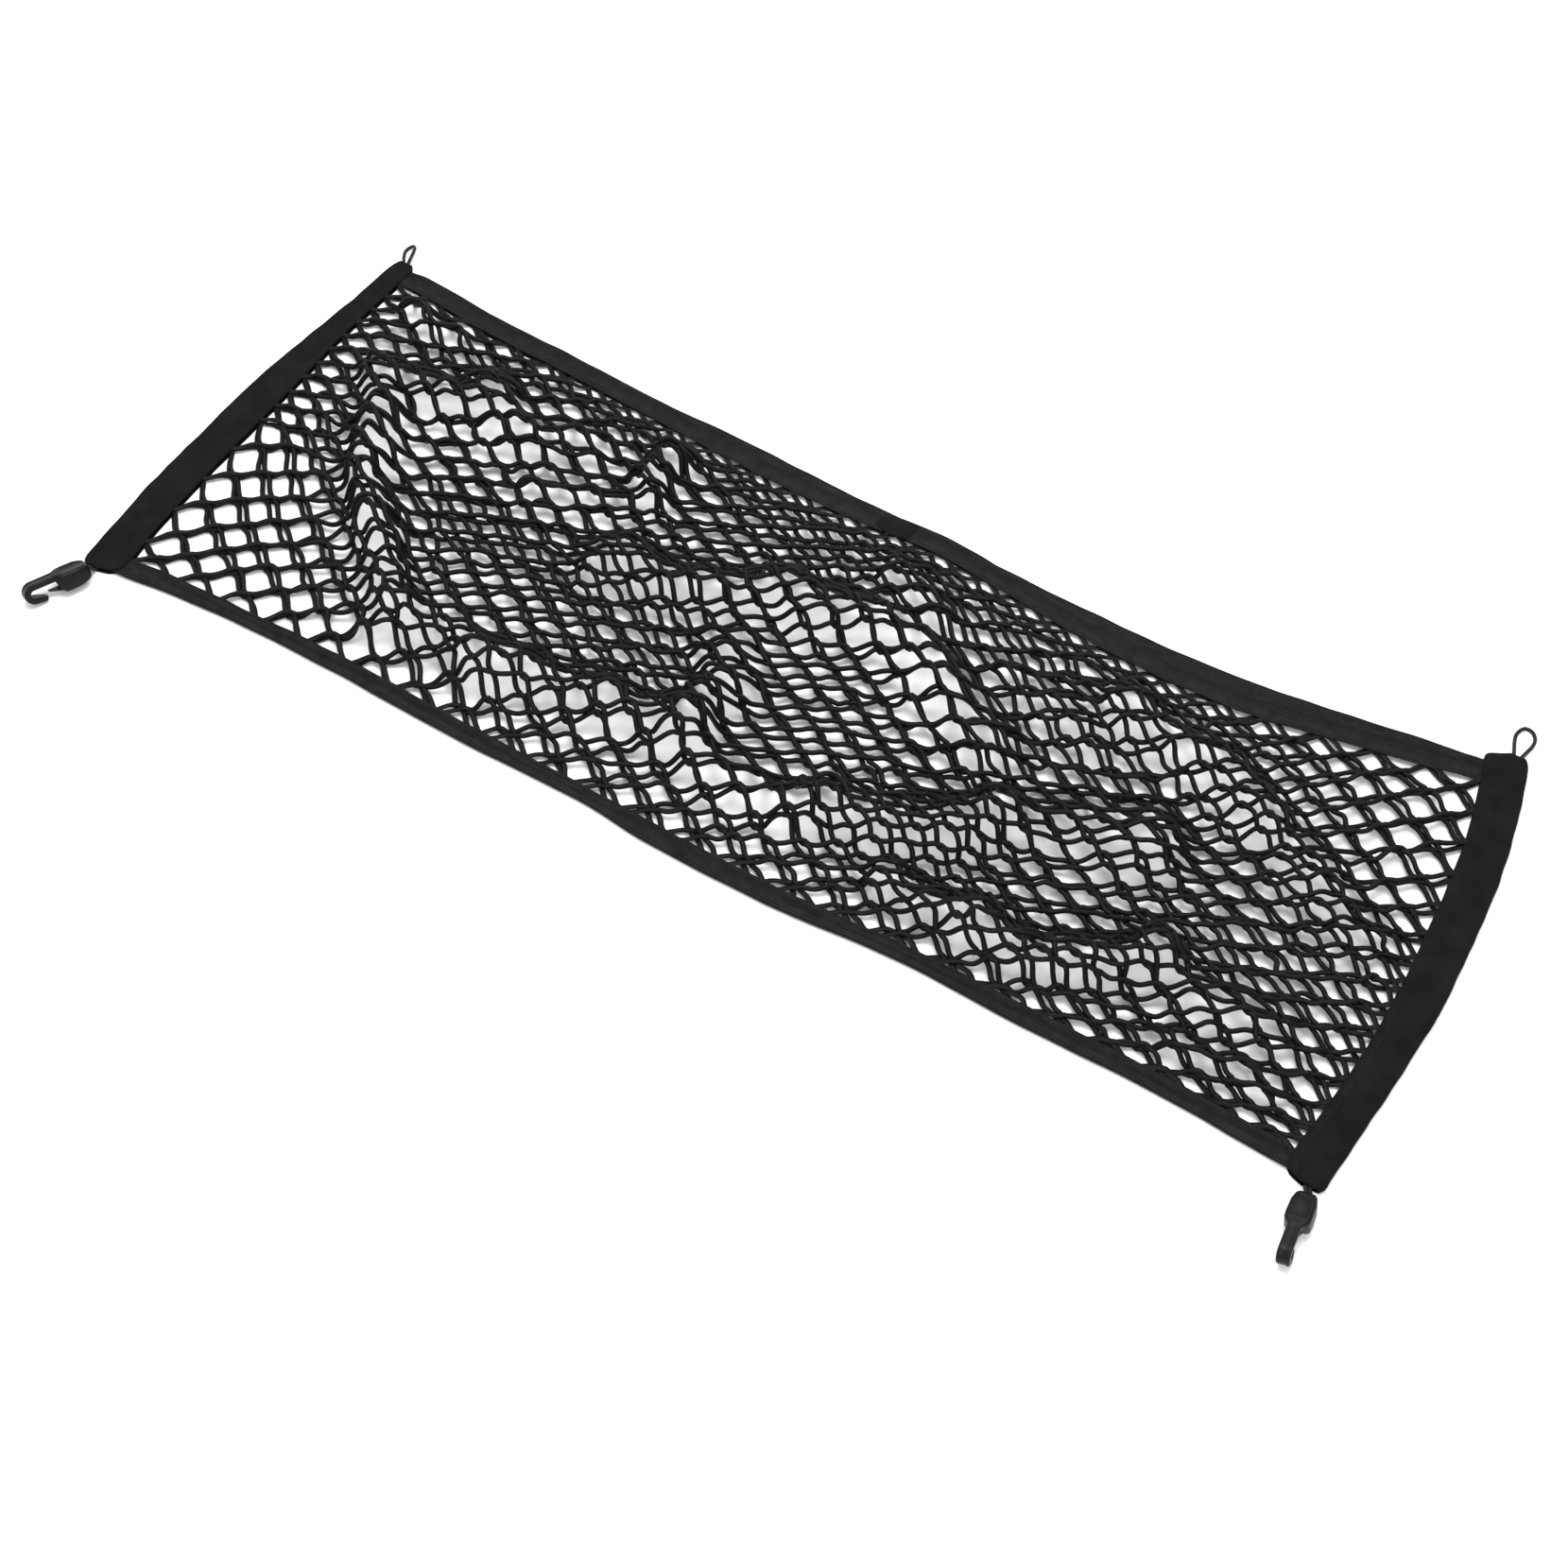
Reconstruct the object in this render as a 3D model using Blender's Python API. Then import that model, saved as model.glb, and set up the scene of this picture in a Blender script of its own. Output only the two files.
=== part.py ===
"""Elastic cargo net for a car boot, lying loose on a floor.

Two layers of knotless diamond net share one folded-over elastic along the near edge and are
bound by a webbing band at each end. The far edge is open: each layer has its own elastic there.
Short elastic cords at the near corners carry moulded hooks, the far corners have cord loops.

The tables are in millimetres: x runs along the net, y from its closed edge to its open edge.
"""

import math

import bmesh
import bpy
from mathutils import Matrix, Vector

MM = 0.001
FIT_GAP = 0.3  # between pieces that are sewn or moulded together

# ------------------------------------------------------------------ sizes of the pieces
MID_HEIGHT = 2.85       # middle of every bound edge above the floor
NET_CORD = 3.0          # width of a net cord
CORD_FLATNESS = 0.8     # height of a net cord over its width
EDGE_PLY = 1.2          # thickness of a net cord where it is pressed flat in an edge
TAPE_PLY = 1.2          # thickness of elastic tape
BAND_PLY = 1.05         # thickness of the webbing of the end bands
TAPE_WIDTH = 19.5       # each of the two elastics of the open edge
BAND_FOLD = 1.8         # depth of the fold that closes a band's slot
TAPE_FOLD = 3.0
BAND_SLOT = MID_HEIGHT - BAND_PLY
TAPE_SLOT = MID_HEIGHT - TAPE_PLY
SQUEEZED_SLOT = 0.3     # slot left in the elastic where an end band presses it flat
SQUEEZE_RUN = 14.0      # length over which the elastic comes back to its full height
LAYER_OFFSET = 1.6      # a net layer's middle from the middle between the layers
EDGE_OFFSET = 0.75      # the same where both layers are pressed flat in an edge
LOOP_CORD = 2.8
TIP_DEPTH = 6.0         # how far the net cords reach into an edge
MOUTH_CLEARANCE = 2.6   # from an edge's lip to where a net cord starts to rise
PRESSED_RUN = 8.0       # from there to where it has its full height
LAST_JOINT = 0.85       # a strand that comes clear further along than this has no bend there
LIP_INSET = 1.5         # from a band's inner edge to where the elastic starts to swell
LONGEST_BAND_STEP = 30.0
LONGEST_ELASTIC_STEP = 45.0

# ------------------------------------------------------------------ plan of the edges as they lie
# columns: x, outer edge y, inner edge y
NEAR_ELASTIC = (
    (-499.5, -199.5, -186.5), (-470.0, -201.5, -185.5), (-430.0, -196.5, -182.5),
    (-356.0, -192.5, -180.5), (-282.0, -192.5, -179.0), (-164.5, -196.5, -182.5),
    (-68.5, -196.0, -184.5), (-2.0, -201.5, -186.5), (87.0, -202.0, -187.5), (197.5, -194.5, -182.5),
    (271.5, -196.5, -182.5), (382.0, -196.0, -182.5), (441.0, -199.5, -185.0), (471.0, -201.5, -186.5),
    (492.0, -201.5, -187.5),
)
# columns: x, outer edge y of the lower tape, inner edge y of the upper tape
FAR_ELASTICS = (
    (-501.5, 185.0, 165.5), (-484.5, 193.0, 172.0), (-450.5, 192.0, 170.5), (-399.0, 183.5, 164.0),
    (-311.0, 178.5, 158.5), (-237.5, 175.0, 153.0), (-164.0, 174.5, 147.0), (-105.0, 171.5, 143.0),
    (-31.0, 167.0, 141.5), (35.5, 166.0, 144.5), (87.5, 162.5, 139.0), (161.0, 159.0, 129.0),
    (235.0, 157.5, 124.0), (308.5, 161.5, 127.0), (382.5, 171.5, 140.5), (441.0, 180.0, 152.0),
    (471.0, 182.0, 160.0), (498.0, 183.0, 163.5),
)
# columns: y, outer edge x, inner edge x
LEFT_BAND = (
    (-206.5, -499.0, -488.5), (-203.0, -502.0, -478.0), (-195.0, -503.5, -471.5),
    (-157.5, -507.0, -475.0), (-113.5, -511.0, -478.0), (-55.0, -512.5, -480.5), (12.0, -514.5, -482.5),
    (63.5, -512.0, -484.5), (92.5, -509.5, -486.0), (144.5, -506.0, -485.5), (185.0, -505.0, -485.0),
    (193.0, -503.8, -485.5), (197.5, -502.0, -488.5),
)
RIGHT_BAND = (
    (-206.5, 497.5, 484.0), (-203.0, 499.5, 475.0), (-195.0, 500.0, 471.0), (-143.0, 507.0, 478.5),
    (-91.0, 513.0, 485.0), (-39.0, 518.0, 487.5), (12.5, 519.0, 488.0), (93.5, 517.0, 485.5),
    (145.0, 511.0, 479.0), (180.0, 505.0, 472.0), (187.0, 503.5, 472.5), (192.0, 502.0, 481.0),
    (196.5, 499.5, 487.5),
)

# ------------------------------------------------------------------ the net and how it lies
CELLS_ALONG = 11
HALF_ROWS_DEEP = 15
LEAN = 8.0              # how far the rows slide towards the open edge's far end
# columns: share of the way up the lattice, share of the way across the net's depth
LEFT_ROWS = ((0.0, 0.0), (0.3125, 0.47), (0.55, 0.66), (0.8, 0.84), (1.0, 1.0))
RIGHT_ROWS = ((0.0, 0.0), (0.14, 0.07), (0.70, 0.60), (1.0, 1.0))
# the gathered ridges; columns: start x, start y, end x, end y, half width, height
RIDGES = (
    (-425, 70, -385, -5, 34, 20), (-385, -5, -335, -75, 34, 24), (-335, -75, -272, -128, 34, 24),
    (-272, -128, -268, -160, 24, 14), (-272, -128, -190, -132, 32, 20), (-190, -132, -90, -120, 34, 22),
    (-90, -120, -50, -105, 30, 20), (-38, -118, -22, -60, 28, 34), (-22, -60, -50, -20, 30, 18),
    (-10, -130, 70, -128, 30, 18), (70, -128, 130, -105, 32, 22), (130, -105, 200, -58, 34, 22),
    (200, -58, 300, -22, 36, 18), (160, -146, 225, -156, 28, 22), (225, -156, 290, -140, 30, 24),
    (290, -140, 340, -112, 30, 20), (340, -112, 420, -118, 30, 12), (-165, -2, -90, 14, 34, 18),
    (-90, 14, -20, 38, 34, 22), (-20, 38, 30, 55, 34, 22), (30, 55, 110, 20, 36, 20),
    (110, 20, 160, -15, 34, 12), (-400, 75, -360, 70, 28, 28), (-450, 150, -415, 150, 24, 16),
    (-180, 120, -172, 75, 24, 20), (225, 78, 275, 68, 30, 18), (275, 68, 350, 42, 34, 20),
    (370, -160, 440, -168, 24, 12), (-360, 100, -300, 75, 28, 18), (-300, 75, -240, 90, 28, 12),
    (30, 110, 70, 80, 28, 12), (150, 60, 220, 40, 30, 12), (380, 20, 440, -10, 34, 10),
    (-250, 40, -180, 60, 30, 8),
)
EDGE_RISE_RUN = 26.0    # from an edge to where the net reaches its full height
LOOSE_RISE = 5.0        # height of the slack net between the ridges
FLAT_CORNER = (-480.0, -180.0)
FLAT_CORNER_WIDTH = 0.75   # its extent across the net over its extent along the net
FLAT_CORNER_REACH = 118.0
FLAT_CORNER_BLEND = 12.0
NARROW_CORNER_LIMIT = 4.0  # longest knot corner, in half cord widths

# ------------------------------------------------------------------ hooks
# columns: along the hook, depth, half width, half thickness
HOOK_BODY = (
    (0.0, 6.9, 5.6, 4.9), (2.5, 7.0, 7.1, 6.1), (8.0, 7.2, 8.4, 7.2),
    (17.0, 7.4, 8.7, 7.4), (21.5, 7.3, 8.4, 7.3), (23.8, 6.4, 7.3, 6.4), (26.5, 2.5, 4.7, 2.5),
)
HOOK_ARM_END = 43.3
HOOK_ARM_DEPTH = 2.5
HOOK_BEND_RADIUS = 5.5
HOOK_BEND_TURN = 166.0
HOOK_BEND_STEPS = 7
HOOK_TIP_LENGTH = 10.0
HOOK_ARM_HALF_WIDTH = 4.5
HOOK_ARM_HALF_THICKNESS = 2.5
HOOK_TIP_HALF_WIDTH = 3.0
HOOK_TIP_HALF_THICKNESS = 1.8
# the springy gate tongue; columns: along the hook, depth, half width, half thickness
HOOK_TONGUE = ((20.0, 13.3, 4.1, 1.2), (24.0, 13.0, 3.7, 1.0), (33.0, 11.3, 1.0, 0.5))
SOCKET_DEPTH = 9.0
SOCKET_HALF_WIDTH = 3.9
SOCKET_HALF_HEIGHT = 1.75
LEG_SPACING = 4.0       # between the two legs of a hook's cord
LEG_REACH = 4.8         # from a band's end to the cord's end inside it
CORD_MIDDLE = {"left": -490.8, "right": 489.2}  # x of the middle between the legs in the band
# name: eye x, y, z; heading from -y towards -x; nose down; roll of the opening towards the floor
HOOKS = {
    "left": ((-490.5, -212.0, 16.9), 24.2, -1.0, 70.2),
    "right": ((489.75, -216.4, 16.3), -3.0, -2.4, 76.0),
}

# columns: x, y, height of the cord's middle
LOOP_LEFT = (
    (-498.5, 192.0, 2.85), (-498.7, 198.4, 2.85), (-503.2, 205.2, 2.0), (-506.6, 212.0, 1.6),
    (-506.2, 217.6, 2.0), (-503.2, 219.6, 3.4), (-499.6, 216.6, 5.0), (-497.0, 210.6, 5.8),
    (-495.6, 204.4, 4.6), (-494.6, 199.0, 3.0), (-494.2, 192.5, 2.85),
)
LOOP_RIGHT = (
    (489.8, 188.5, 2.85), (489.3, 198.0, 2.85), (486.0, 210.5, 1.7), (485.0, 219.0, 1.6),
    (488.4, 226.6, 1.6), (494.6, 226.4, 1.6), (498.6, 220.6, 1.6), (498.8, 213.4, 1.7),
    (496.6, 204.0, 2.4), (495.2, 198.0, 2.85), (494.4, 190.0, 2.85),
)

# ------------------------------------------------------------------ colours and finishes
# columns: red, green, blue, roughness
NET_FINISH = (0.010, 0.010, 0.011, 0.62)
TAPE_FINISH = (0.016, 0.016, 0.017, 0.80)
BAND_FINISH = (0.014, 0.014, 0.015, 0.85)
HOOK_FINISH = (0.030, 0.030, 0.032, 0.38)
CORD_FINISH = (0.022, 0.022, 0.023, 0.60)


def clear_scene():
    for item in list(bpy.data.objects):
        bpy.data.objects.remove(item, do_unlink=True)


def finish(name, red, green, blue, roughness):
    material = bpy.data.materials.new(name)
    material.use_nodes = True
    shader = material.node_tree.nodes["Principled BSDF"]
    shader.inputs["Base Color"].default_value = (red, green, blue, 1.0)
    shader.inputs["Roughness"].default_value = roughness
    shader.inputs["Metallic"].default_value = 0.0
    return material


def add_object(name, mesh, material):
    made = bpy.data.objects.new(name, mesh)
    made.data.materials.append(material)
    bpy.context.collection.objects.link(made)
    return made


def closed_mesh(name, points, faces):
    """A closed body from points in millimetres, its faces turned outwards."""
    shape = bmesh.new()
    corners = [shape.verts.new(Vector(point) * MM) for point in points]
    for face in faces:
        shape.faces.new([corners[index] for index in face])
    bmesh.ops.recalc_face_normals(shape, faces=shape.faces)
    mesh = bpy.data.meshes.new(name)
    shape.to_mesh(mesh)
    shape.free()
    return mesh


def loft(name, rings):
    """Skin a row of rings that have the same number of points, and cap both ends."""
    count = len(rings[0])
    points = [point for ring in rings for point in ring]
    faces = [tuple(range(count)), tuple(range(len(points) - count, len(points)))]
    for row in range(len(rings) - 1):
        first = row * count
        for step in range(count):
            after = (step + 1) % count
            faces.append((first + step, first + after, first + count + after, first + count + step))
    return closed_mesh(name, points, faces)


def smooth(table, along, column):
    """Read a column of a table on a smooth curve through its rows."""
    last = len(table) - 1
    if along <= table[0][0]:
        return table[0][column]
    if along >= table[last][0]:
        return table[last][column]
    row = max(index for index in range(last) if table[index][0] <= along)

    def slope(index):
        before, after = table[max(index - 1, 0)], table[min(index + 1, last)]
        return (after[column] - before[column]) / (after[0] - before[0])

    run = table[row + 1][0] - table[row][0]
    share = (along - table[row][0]) / run
    start, end = table[row][column], table[row + 1][column]
    blend = share * share * (3 - 2 * share)
    lead_in = share * (1 - share) ** 2 * slope(row) * run
    lead_out = share * share * (share - 1) * slope(row + 1) * run
    return start + (end - start) * blend + lead_in + lead_out


def ramp(table, share):
    """Read a two-column table along straight lines."""
    for (start, low), (end, high) in zip(table, table[1:]):
        if share <= end:
            return low + (high - low) * (share - start) / (end - start)
    return table[-1][1]


def clamp(value):
    return min(max(value, 0.0), 1.0)


def ease(value):
    value = clamp(value)
    return value * value * (3 - 2 * value)


def steps(start, end, count):
    return [start + (end - start) * index / count for index in range(count + 1)]


def stations(table, longest, extra=()):
    """Where a strip's sections lie: at the table's rows and at extra places, and between them."""
    places = sorted({row[0] for row in table} | set(extra))
    filled = []
    for start, end in zip(places, places[1:]):
        filled += steps(start, end, math.ceil((end - start) / longest))[:-1]
    return filled + places[-1:]


# ------------------------------------------------------------------ bands and elastics
def folded_profile(width, half_height, half_slot, closed_side):
    """A strip folded round an edge: distance from its outer fold, height from its middle."""
    shoulder = min(1.3, half_height * 0.45)
    return (
        (shoulder, -half_height), (width, -half_height), (width, -half_slot), (closed_side, -half_slot),
        (closed_side, half_slot), (width, half_slot), (width, half_height), (shoulder, half_height),
        (0.0, half_height * 0.45), (0.0, -half_height * 0.45),
    )


def end_band(name, table, material):
    rings = []
    for y in stations(table, LONGEST_BAND_STEP):
        outer = smooth(table, y, 1)
        inner = smooth(table, y, 2)
        inward = math.copysign(1.0, inner - outer)
        profile = folded_profile(abs(inner - outer), MID_HEIGHT, BAND_SLOT, BAND_FOLD)
        rings.append([(outer + inward * across, y, MID_HEIGHT + up) for across, up in profile])
    return add_object(name, loft(name, rings), material)


def band_lips(y):
    """Just past the inner edges of the two end bands."""
    return smooth(LEFT_BAND, y, 2) + LIP_INSET, smooth(RIGHT_BAND, y, 2) - LIP_INSET


def elastic_slot(x, y):
    """Half the slot in the elastic: squeezed in an end band, open to its full height past it."""
    left, right = band_lips(y)
    free = min(ease((x - left) / SQUEEZE_RUN), ease((right - x) / SQUEEZE_RUN))
    return SQUEEZED_SLOT + (TAPE_SLOT - SQUEEZED_SLOT) * free


def elastic_stations(table):
    left, right = band_lips(table[1][2])[0], band_lips(table[-2][2])[1]
    swell = [0.0, 0.5 * SQUEEZE_RUN, SQUEEZE_RUN]
    extra = [left + run for run in swell] + [right - run for run in swell]
    return stations(table, LONGEST_ELASTIC_STEP, extra)


def near_elastic(name, material):
    rings = []
    for x in elastic_stations(NEAR_ELASTIC):
        outer = smooth(NEAR_ELASTIC, x, 1)
        inner = smooth(NEAR_ELASTIC, x, 2)
        half_slot = elastic_slot(x, inner)
        profile = folded_profile(inner - outer, half_slot + TAPE_PLY, half_slot, TAPE_FOLD)
        rings.append([(x, outer + across, MID_HEIGHT + up) for across, up in profile])
    return add_object(name, loft(name, rings), material)


def far_elastic(name, side, material):
    """One tape of the open edge: side is 1 for the upper layer and -1 for the lower one."""
    rings = []
    for x in elastic_stations(FAR_ELASTICS):
        if side > 0:
            low = smooth(FAR_ELASTICS, x, 2)
        else:
            low = smooth(FAR_ELASTICS, x, 1) - TAPE_WIDTH
        high = low + TAPE_WIDTH
        near_face = elastic_slot(x, high)
        middle = near_face + TAPE_PLY / 2
        profile = (
            (low, near_face), (high, near_face), (high + 0.5, middle), (high, near_face + TAPE_PLY),
            (low, near_face + TAPE_PLY), (low - 0.5, middle),
        )
        rings.append([(x, y, MID_HEIGHT + side * up) for y, up in profile])
    return add_object(name, loft(name, rings), material)


def closure_tab(name, material):
    """A small sewn patch, slightly crowned, on the upper elastic at the middle of the open edge."""
    base = 2 * MID_HEIGHT + FIT_GAP
    rim = base + 0.9
    crown = base + 1.7
    # columns: x, near edge y, far edge y, share of the crown
    rows = ((-14, 147, 151, 0.0), (-8, 143.5, 158, 0.6), (1, 142, 161.5, 1.0),
            (10, 143, 162, 0.9), (15, 144, 162, 0.2))
    rings = []
    for x, near, far, share in rows:
        quarter = (far - near) / 4
        top = rim + (crown - rim) * share
        rings.append([(x, near, base), (x, far, base), (x, far, rim), (x, far - quarter, top),
                      (x, near + quarter, top), (x, near, rim)])
    return add_object(name, loft(name, rings), material)


# ------------------------------------------------------------------ the net
def ridge_height(x, y):
    """Height of the gathered ridges at a point, blended so that crossing ridges don't add up."""
    total = 0.0
    for x1, y1, x2, y2, half_width, height in RIDGES:
        dx, dy = x2 - x1, y2 - y1
        share = clamp(((x - x1) * dx + (y - y1) * dy) / (dx * dx + dy * dy))
        distance = math.hypot(x - x1 - share * dx, y - y1 - share * dy) / half_width
        if distance < 1:
            total += ((1 - distance * distance) ** 2 * height) ** 3
    return total ** (1 / 3)


def edge_distances(x, y):
    return (y - smooth(NEAR_ELASTIC, x, 2), smooth(FAR_ELASTICS, x, 2) - y,
            x - smooth(LEFT_BAND, y, 2), smooth(RIGHT_BAND, y, 2) - x)


def height(x, y):
    """Height of the middle between the two net layers."""
    inside = 1.0
    for distance in edge_distances(x, y):
        inside *= clamp((distance - MOUTH_CLEARANCE) / EDGE_RISE_RUN)
    corner_x, corner_y = FLAT_CORNER
    across = (y - corner_y) * FLAT_CORNER_WIDTH
    from_corner = (x - corner_x + across) / math.hypot(1.0, FLAT_CORNER_WIDTH)
    loose = 1 / (1 + math.exp((FLAT_CORNER_REACH - from_corner) / FLAT_CORNER_BLEND))
    return MID_HEIGHT + ease(inside) * (LOOSE_RISE * loose + ridge_height(x, y))


def knot_place(column, row):
    """Plan position of a knot of the lattice."""
    across = column / (2 * CELLS_ALONG)
    deep = row / HALF_ROWS_DEEP
    left_pull = clamp(1 - 1.6 * across) ** 1.3
    right_pull = clamp(1 - 2.2 * (1 - across)) ** 1.3
    middle_pull = 1 - left_pull - right_pull
    depth = ramp(LEFT_ROWS, deep) * left_pull + ramp(RIGHT_ROWS, deep) * right_pull + deep * middle_pull
    slide = -LEAN * deep ** 1.2 * clamp(4 * across) * clamp(4 * (1 - across))
    x, y = 0.0, 0.0
    for _ in range(3):
        left = smooth(LEFT_BAND, y, 2) - TIP_DEPTH
        right = smooth(RIGHT_BAND, y, 2) + TIP_DEPTH
        x = left + (right - left) * across + slide
        near = smooth(NEAR_ELASTIC, x, 2) - TIP_DEPTH
        upper_tape = smooth(FAR_ELASTICS, x, 2)
        y = near + (upper_tape + TIP_DEPTH - near) * depth
    if row == HALF_ROWS_DEEP:
        lower_tape = smooth(FAR_ELASTICS, x, 1) - TAPE_WIDTH
        y += max(lower_tape - upper_tape, 0.0)
    return Vector((x, y))


def is_border(knot):
    return knot[0] in (0, 2 * CELLS_ALONG) or knot[1] in (0, HALF_ROWS_DEEP)


def lattice():
    """The knots and the strands between them. The near corners' single strands are left out."""
    columns = 2 * CELLS_ALONG
    knots = [(i, j) for i in range(columns + 1) for j in range(HALF_ROWS_DEEP + 1) if (i + j) % 2 == 0]
    knots = [knot for knot in knots if knot not in ((0, 0), (columns, 0))]
    strands = []
    for i, j in knots:
        for step in (-1, 1):
            if (i + 1, j + step) in knots:
                strands.append(((i, j), (i + 1, j + step)))
    return knots, strands


def mouth(border, inside):
    """How far along a strand it comes clear of the lip of the edge that holds its border end."""
    low, high = 0.0, 1.0
    for _ in range(24):
        share = (low + high) / 2
        place = border.lerp(inside, share)
        if min(edge_distances(place.x, place.y)) < MOUTH_CLEARANCE:
            low = share
        else:
            high = share
    return high


def strand_joints(start, end, start_bound, end_bound):
    """Shares of a strand where it bends: at the lips that it crosses and halfway between."""
    first = mouth(start, end) if start_bound else 0.0
    last = 1 - mouth(end, start) if end_bound else 1.0
    joints = [(first + last) / 2]
    if 0.0 < first < LAST_JOINT:
        joints.insert(0, first)
    if 1 - LAST_JOINT < last < 1.0:
        joints.append(last)
    return joints


def knot_corners(place, directions):
    """Corners of a knot between its neighbouring strands, in the order of the strands' angles."""
    half = NET_CORD / 2
    corners = []
    for index, angle in enumerate(directions):
        following = directions[(index + 1) % len(directions)]
        opening = (following - angle) % (2 * math.pi)
        reach = half * min(1 / math.sin(opening / 2), NARROW_CORNER_LIMIT)
        middle = angle + opening / 2
        corners.append(place + Vector((math.cos(middle), math.sin(middle))) * reach)
    return corners


class Layer:
    """The points and faces of one net layer as it is put together."""

    def __init__(self, side):
        self.side = side
        self.points = []
        self.faces = []

    def pair(self, place, middle_place):
        """A point on the top and one on the bottom of the net, one above the other."""
        from_lip = min(edge_distances(middle_place.x, middle_place.y)) - MOUTH_CLEARANCE
        free = clamp(from_lip / PRESSED_RUN)
        offset = EDGE_OFFSET + (LAYER_OFFSET - EDGE_OFFSET) * free
        half_cord = (EDGE_PLY + (NET_CORD * CORD_FLATNESS - EDGE_PLY) * free) / 2
        middle = height(middle_place.x, middle_place.y) + self.side * offset
        self.points.append((place.x, place.y, middle + half_cord))
        self.points.append((place.x, place.y, middle - half_cord))
        return len(self.points) - 2

    def quads(self, left, right, next_left, next_right):
        """A stretch of strand between two pairs on its left and two on its right."""
        self.faces.append((left, right, next_right, next_left))
        self.faces.append((left + 1, next_left + 1, next_right + 1, right + 1))
        self.faces.append((left, next_left, next_left + 1, left + 1))
        self.faces.append((right, right + 1, next_right + 1, next_right))


def net_layer(name, side, material):
    """Diamond net as strands of rectangular section that meet in the corners of their knots."""
    knots, strands = lattice()
    places = {knot: knot_place(*knot) for knot in knots}
    layer = Layer(side)
    leaving = {knot: [] for knot in knots}
    for start, end in strands:
        leaving[start].append(end)
        leaving[end].append(start)

    corner_pairs = {}
    for knot in knots:
        place = places[knot]

        def angle_to(other):
            away = places[other] - place
            return math.atan2(away.y, away.x) % (2 * math.pi)

        others = sorted(leaving[knot], key=angle_to)
        corners = knot_corners(place, [angle_to(other) for other in others])
        pairs = [layer.pair(corner, place) for corner in corners]
        for index, other in enumerate(others):
            corner_pairs[knot, other] = (pairs[index], pairs[index - 1])
        if len(pairs) > 2:
            layer.faces.append(tuple(pairs))
            layer.faces.append(tuple(pair + 1 for pair in reversed(pairs)))

    for start, end in strands:
        near, far = places[start], places[end]
        sideways = (far - near).normalized().orthogonal() * (NET_CORD / 2)
        left, right = corner_pairs[start, end]
        for share in strand_joints(near, far, is_border(start), is_border(end)):
            place = near.lerp(far, share)
            next_left = layer.pair(place + sideways, place)
            next_right = layer.pair(place - sideways, place)
            layer.quads(left, right, next_left, next_right)
            left, right = next_left, next_right
        end_right, end_left = corner_pairs[end, start]
        layer.quads(left, right, end_left, end_right)
    return add_object(name, closed_mesh(name, layer.points, layer.faces), material)


# ------------------------------------------------------------------ hooks and cords
def box_ring(along, depth, half_width, half_thickness, turn=0.0):
    """A chamfered rectangle across the hook; turn swings it with the bend."""
    chamfer = min(half_thickness * 0.45, 2.4)
    outline = (
        (half_width, half_thickness - chamfer), (half_width - chamfer, half_thickness),
        (chamfer - half_width, half_thickness), (-half_width, half_thickness - chamfer),
        (-half_width, chamfer - half_thickness), (chamfer - half_width, -half_thickness),
        (half_width - chamfer, -half_thickness), (half_width, chamfer - half_thickness),
    )
    cosine, sine = math.cos(turn), math.sin(turn)
    return [(along + sine * -up, depth + cosine * up, wide) for wide, up in outline]


def hook_rings():
    rings = [box_ring(*row) for row in HOOK_BODY]
    centre = (HOOK_ARM_END, HOOK_ARM_DEPTH + HOOK_BEND_RADIUS)
    whole_turn = math.radians(HOOK_BEND_TURN)
    for turn in steps(0.0, whole_turn, HOOK_BEND_STEPS):
        along = centre[0] + HOOK_BEND_RADIUS * math.sin(turn)
        depth = centre[1] - HOOK_BEND_RADIUS * math.cos(turn)
        rings.append(box_ring(along, depth, HOOK_ARM_HALF_WIDTH, HOOK_ARM_HALF_THICKNESS, turn))
    tip_along = along + HOOK_TIP_LENGTH * math.cos(whole_turn)
    tip_depth = depth + HOOK_TIP_LENGTH * math.sin(whole_turn)
    rings.append(box_ring(tip_along, tip_depth, HOOK_TIP_HALF_WIDTH, HOOK_TIP_HALF_THICKNESS, whole_turn))
    return rings


def hook_matrix(side):
    """Local x runs from the eye to the bend, local y towards the opening, local z across."""
    eye, heading, nose_down, roll = HOOKS[side]
    base = Matrix.Rotation(math.radians(-90 - heading), 4, "Z")
    pitch = Matrix.Rotation(math.radians(nose_down), 4, "Y")
    turn = Matrix.Rotation(math.radians(-roll), 4, "X")
    return Matrix.Translation(Vector(eye) * MM) @ base @ pitch @ turn


def hook(side, material):
    """One moulded hook: a chunky body, a strap bent round to the tip, and the gate tongue."""
    name = "hook_" + side
    made = add_object(name, loft(name, hook_rings()), material)
    helpers = {
        "UNION": loft(name + "_tongue", [box_ring(*row) for row in HOOK_TONGUE]),
        "DIFFERENCE": loft(name + "_socket", [
            box_ring(along, HOOK_BODY[0][1], SOCKET_HALF_WIDTH, SOCKET_HALF_HEIGHT)
            for along in (-2.0, SOCKET_DEPTH)]),
    }
    for operation, mesh in helpers.items():
        helper = add_object(mesh.name, mesh, material)
        helper.parent = made
        helper.hide_render = True
        helper.display_type = "WIRE"
        change = made.modifiers.new(operation.title(), "BOOLEAN")
        change.operation = operation
        change.solver = "EXACT"
        change.object = helper
    made.matrix_world = hook_matrix(side)
    return made


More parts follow.
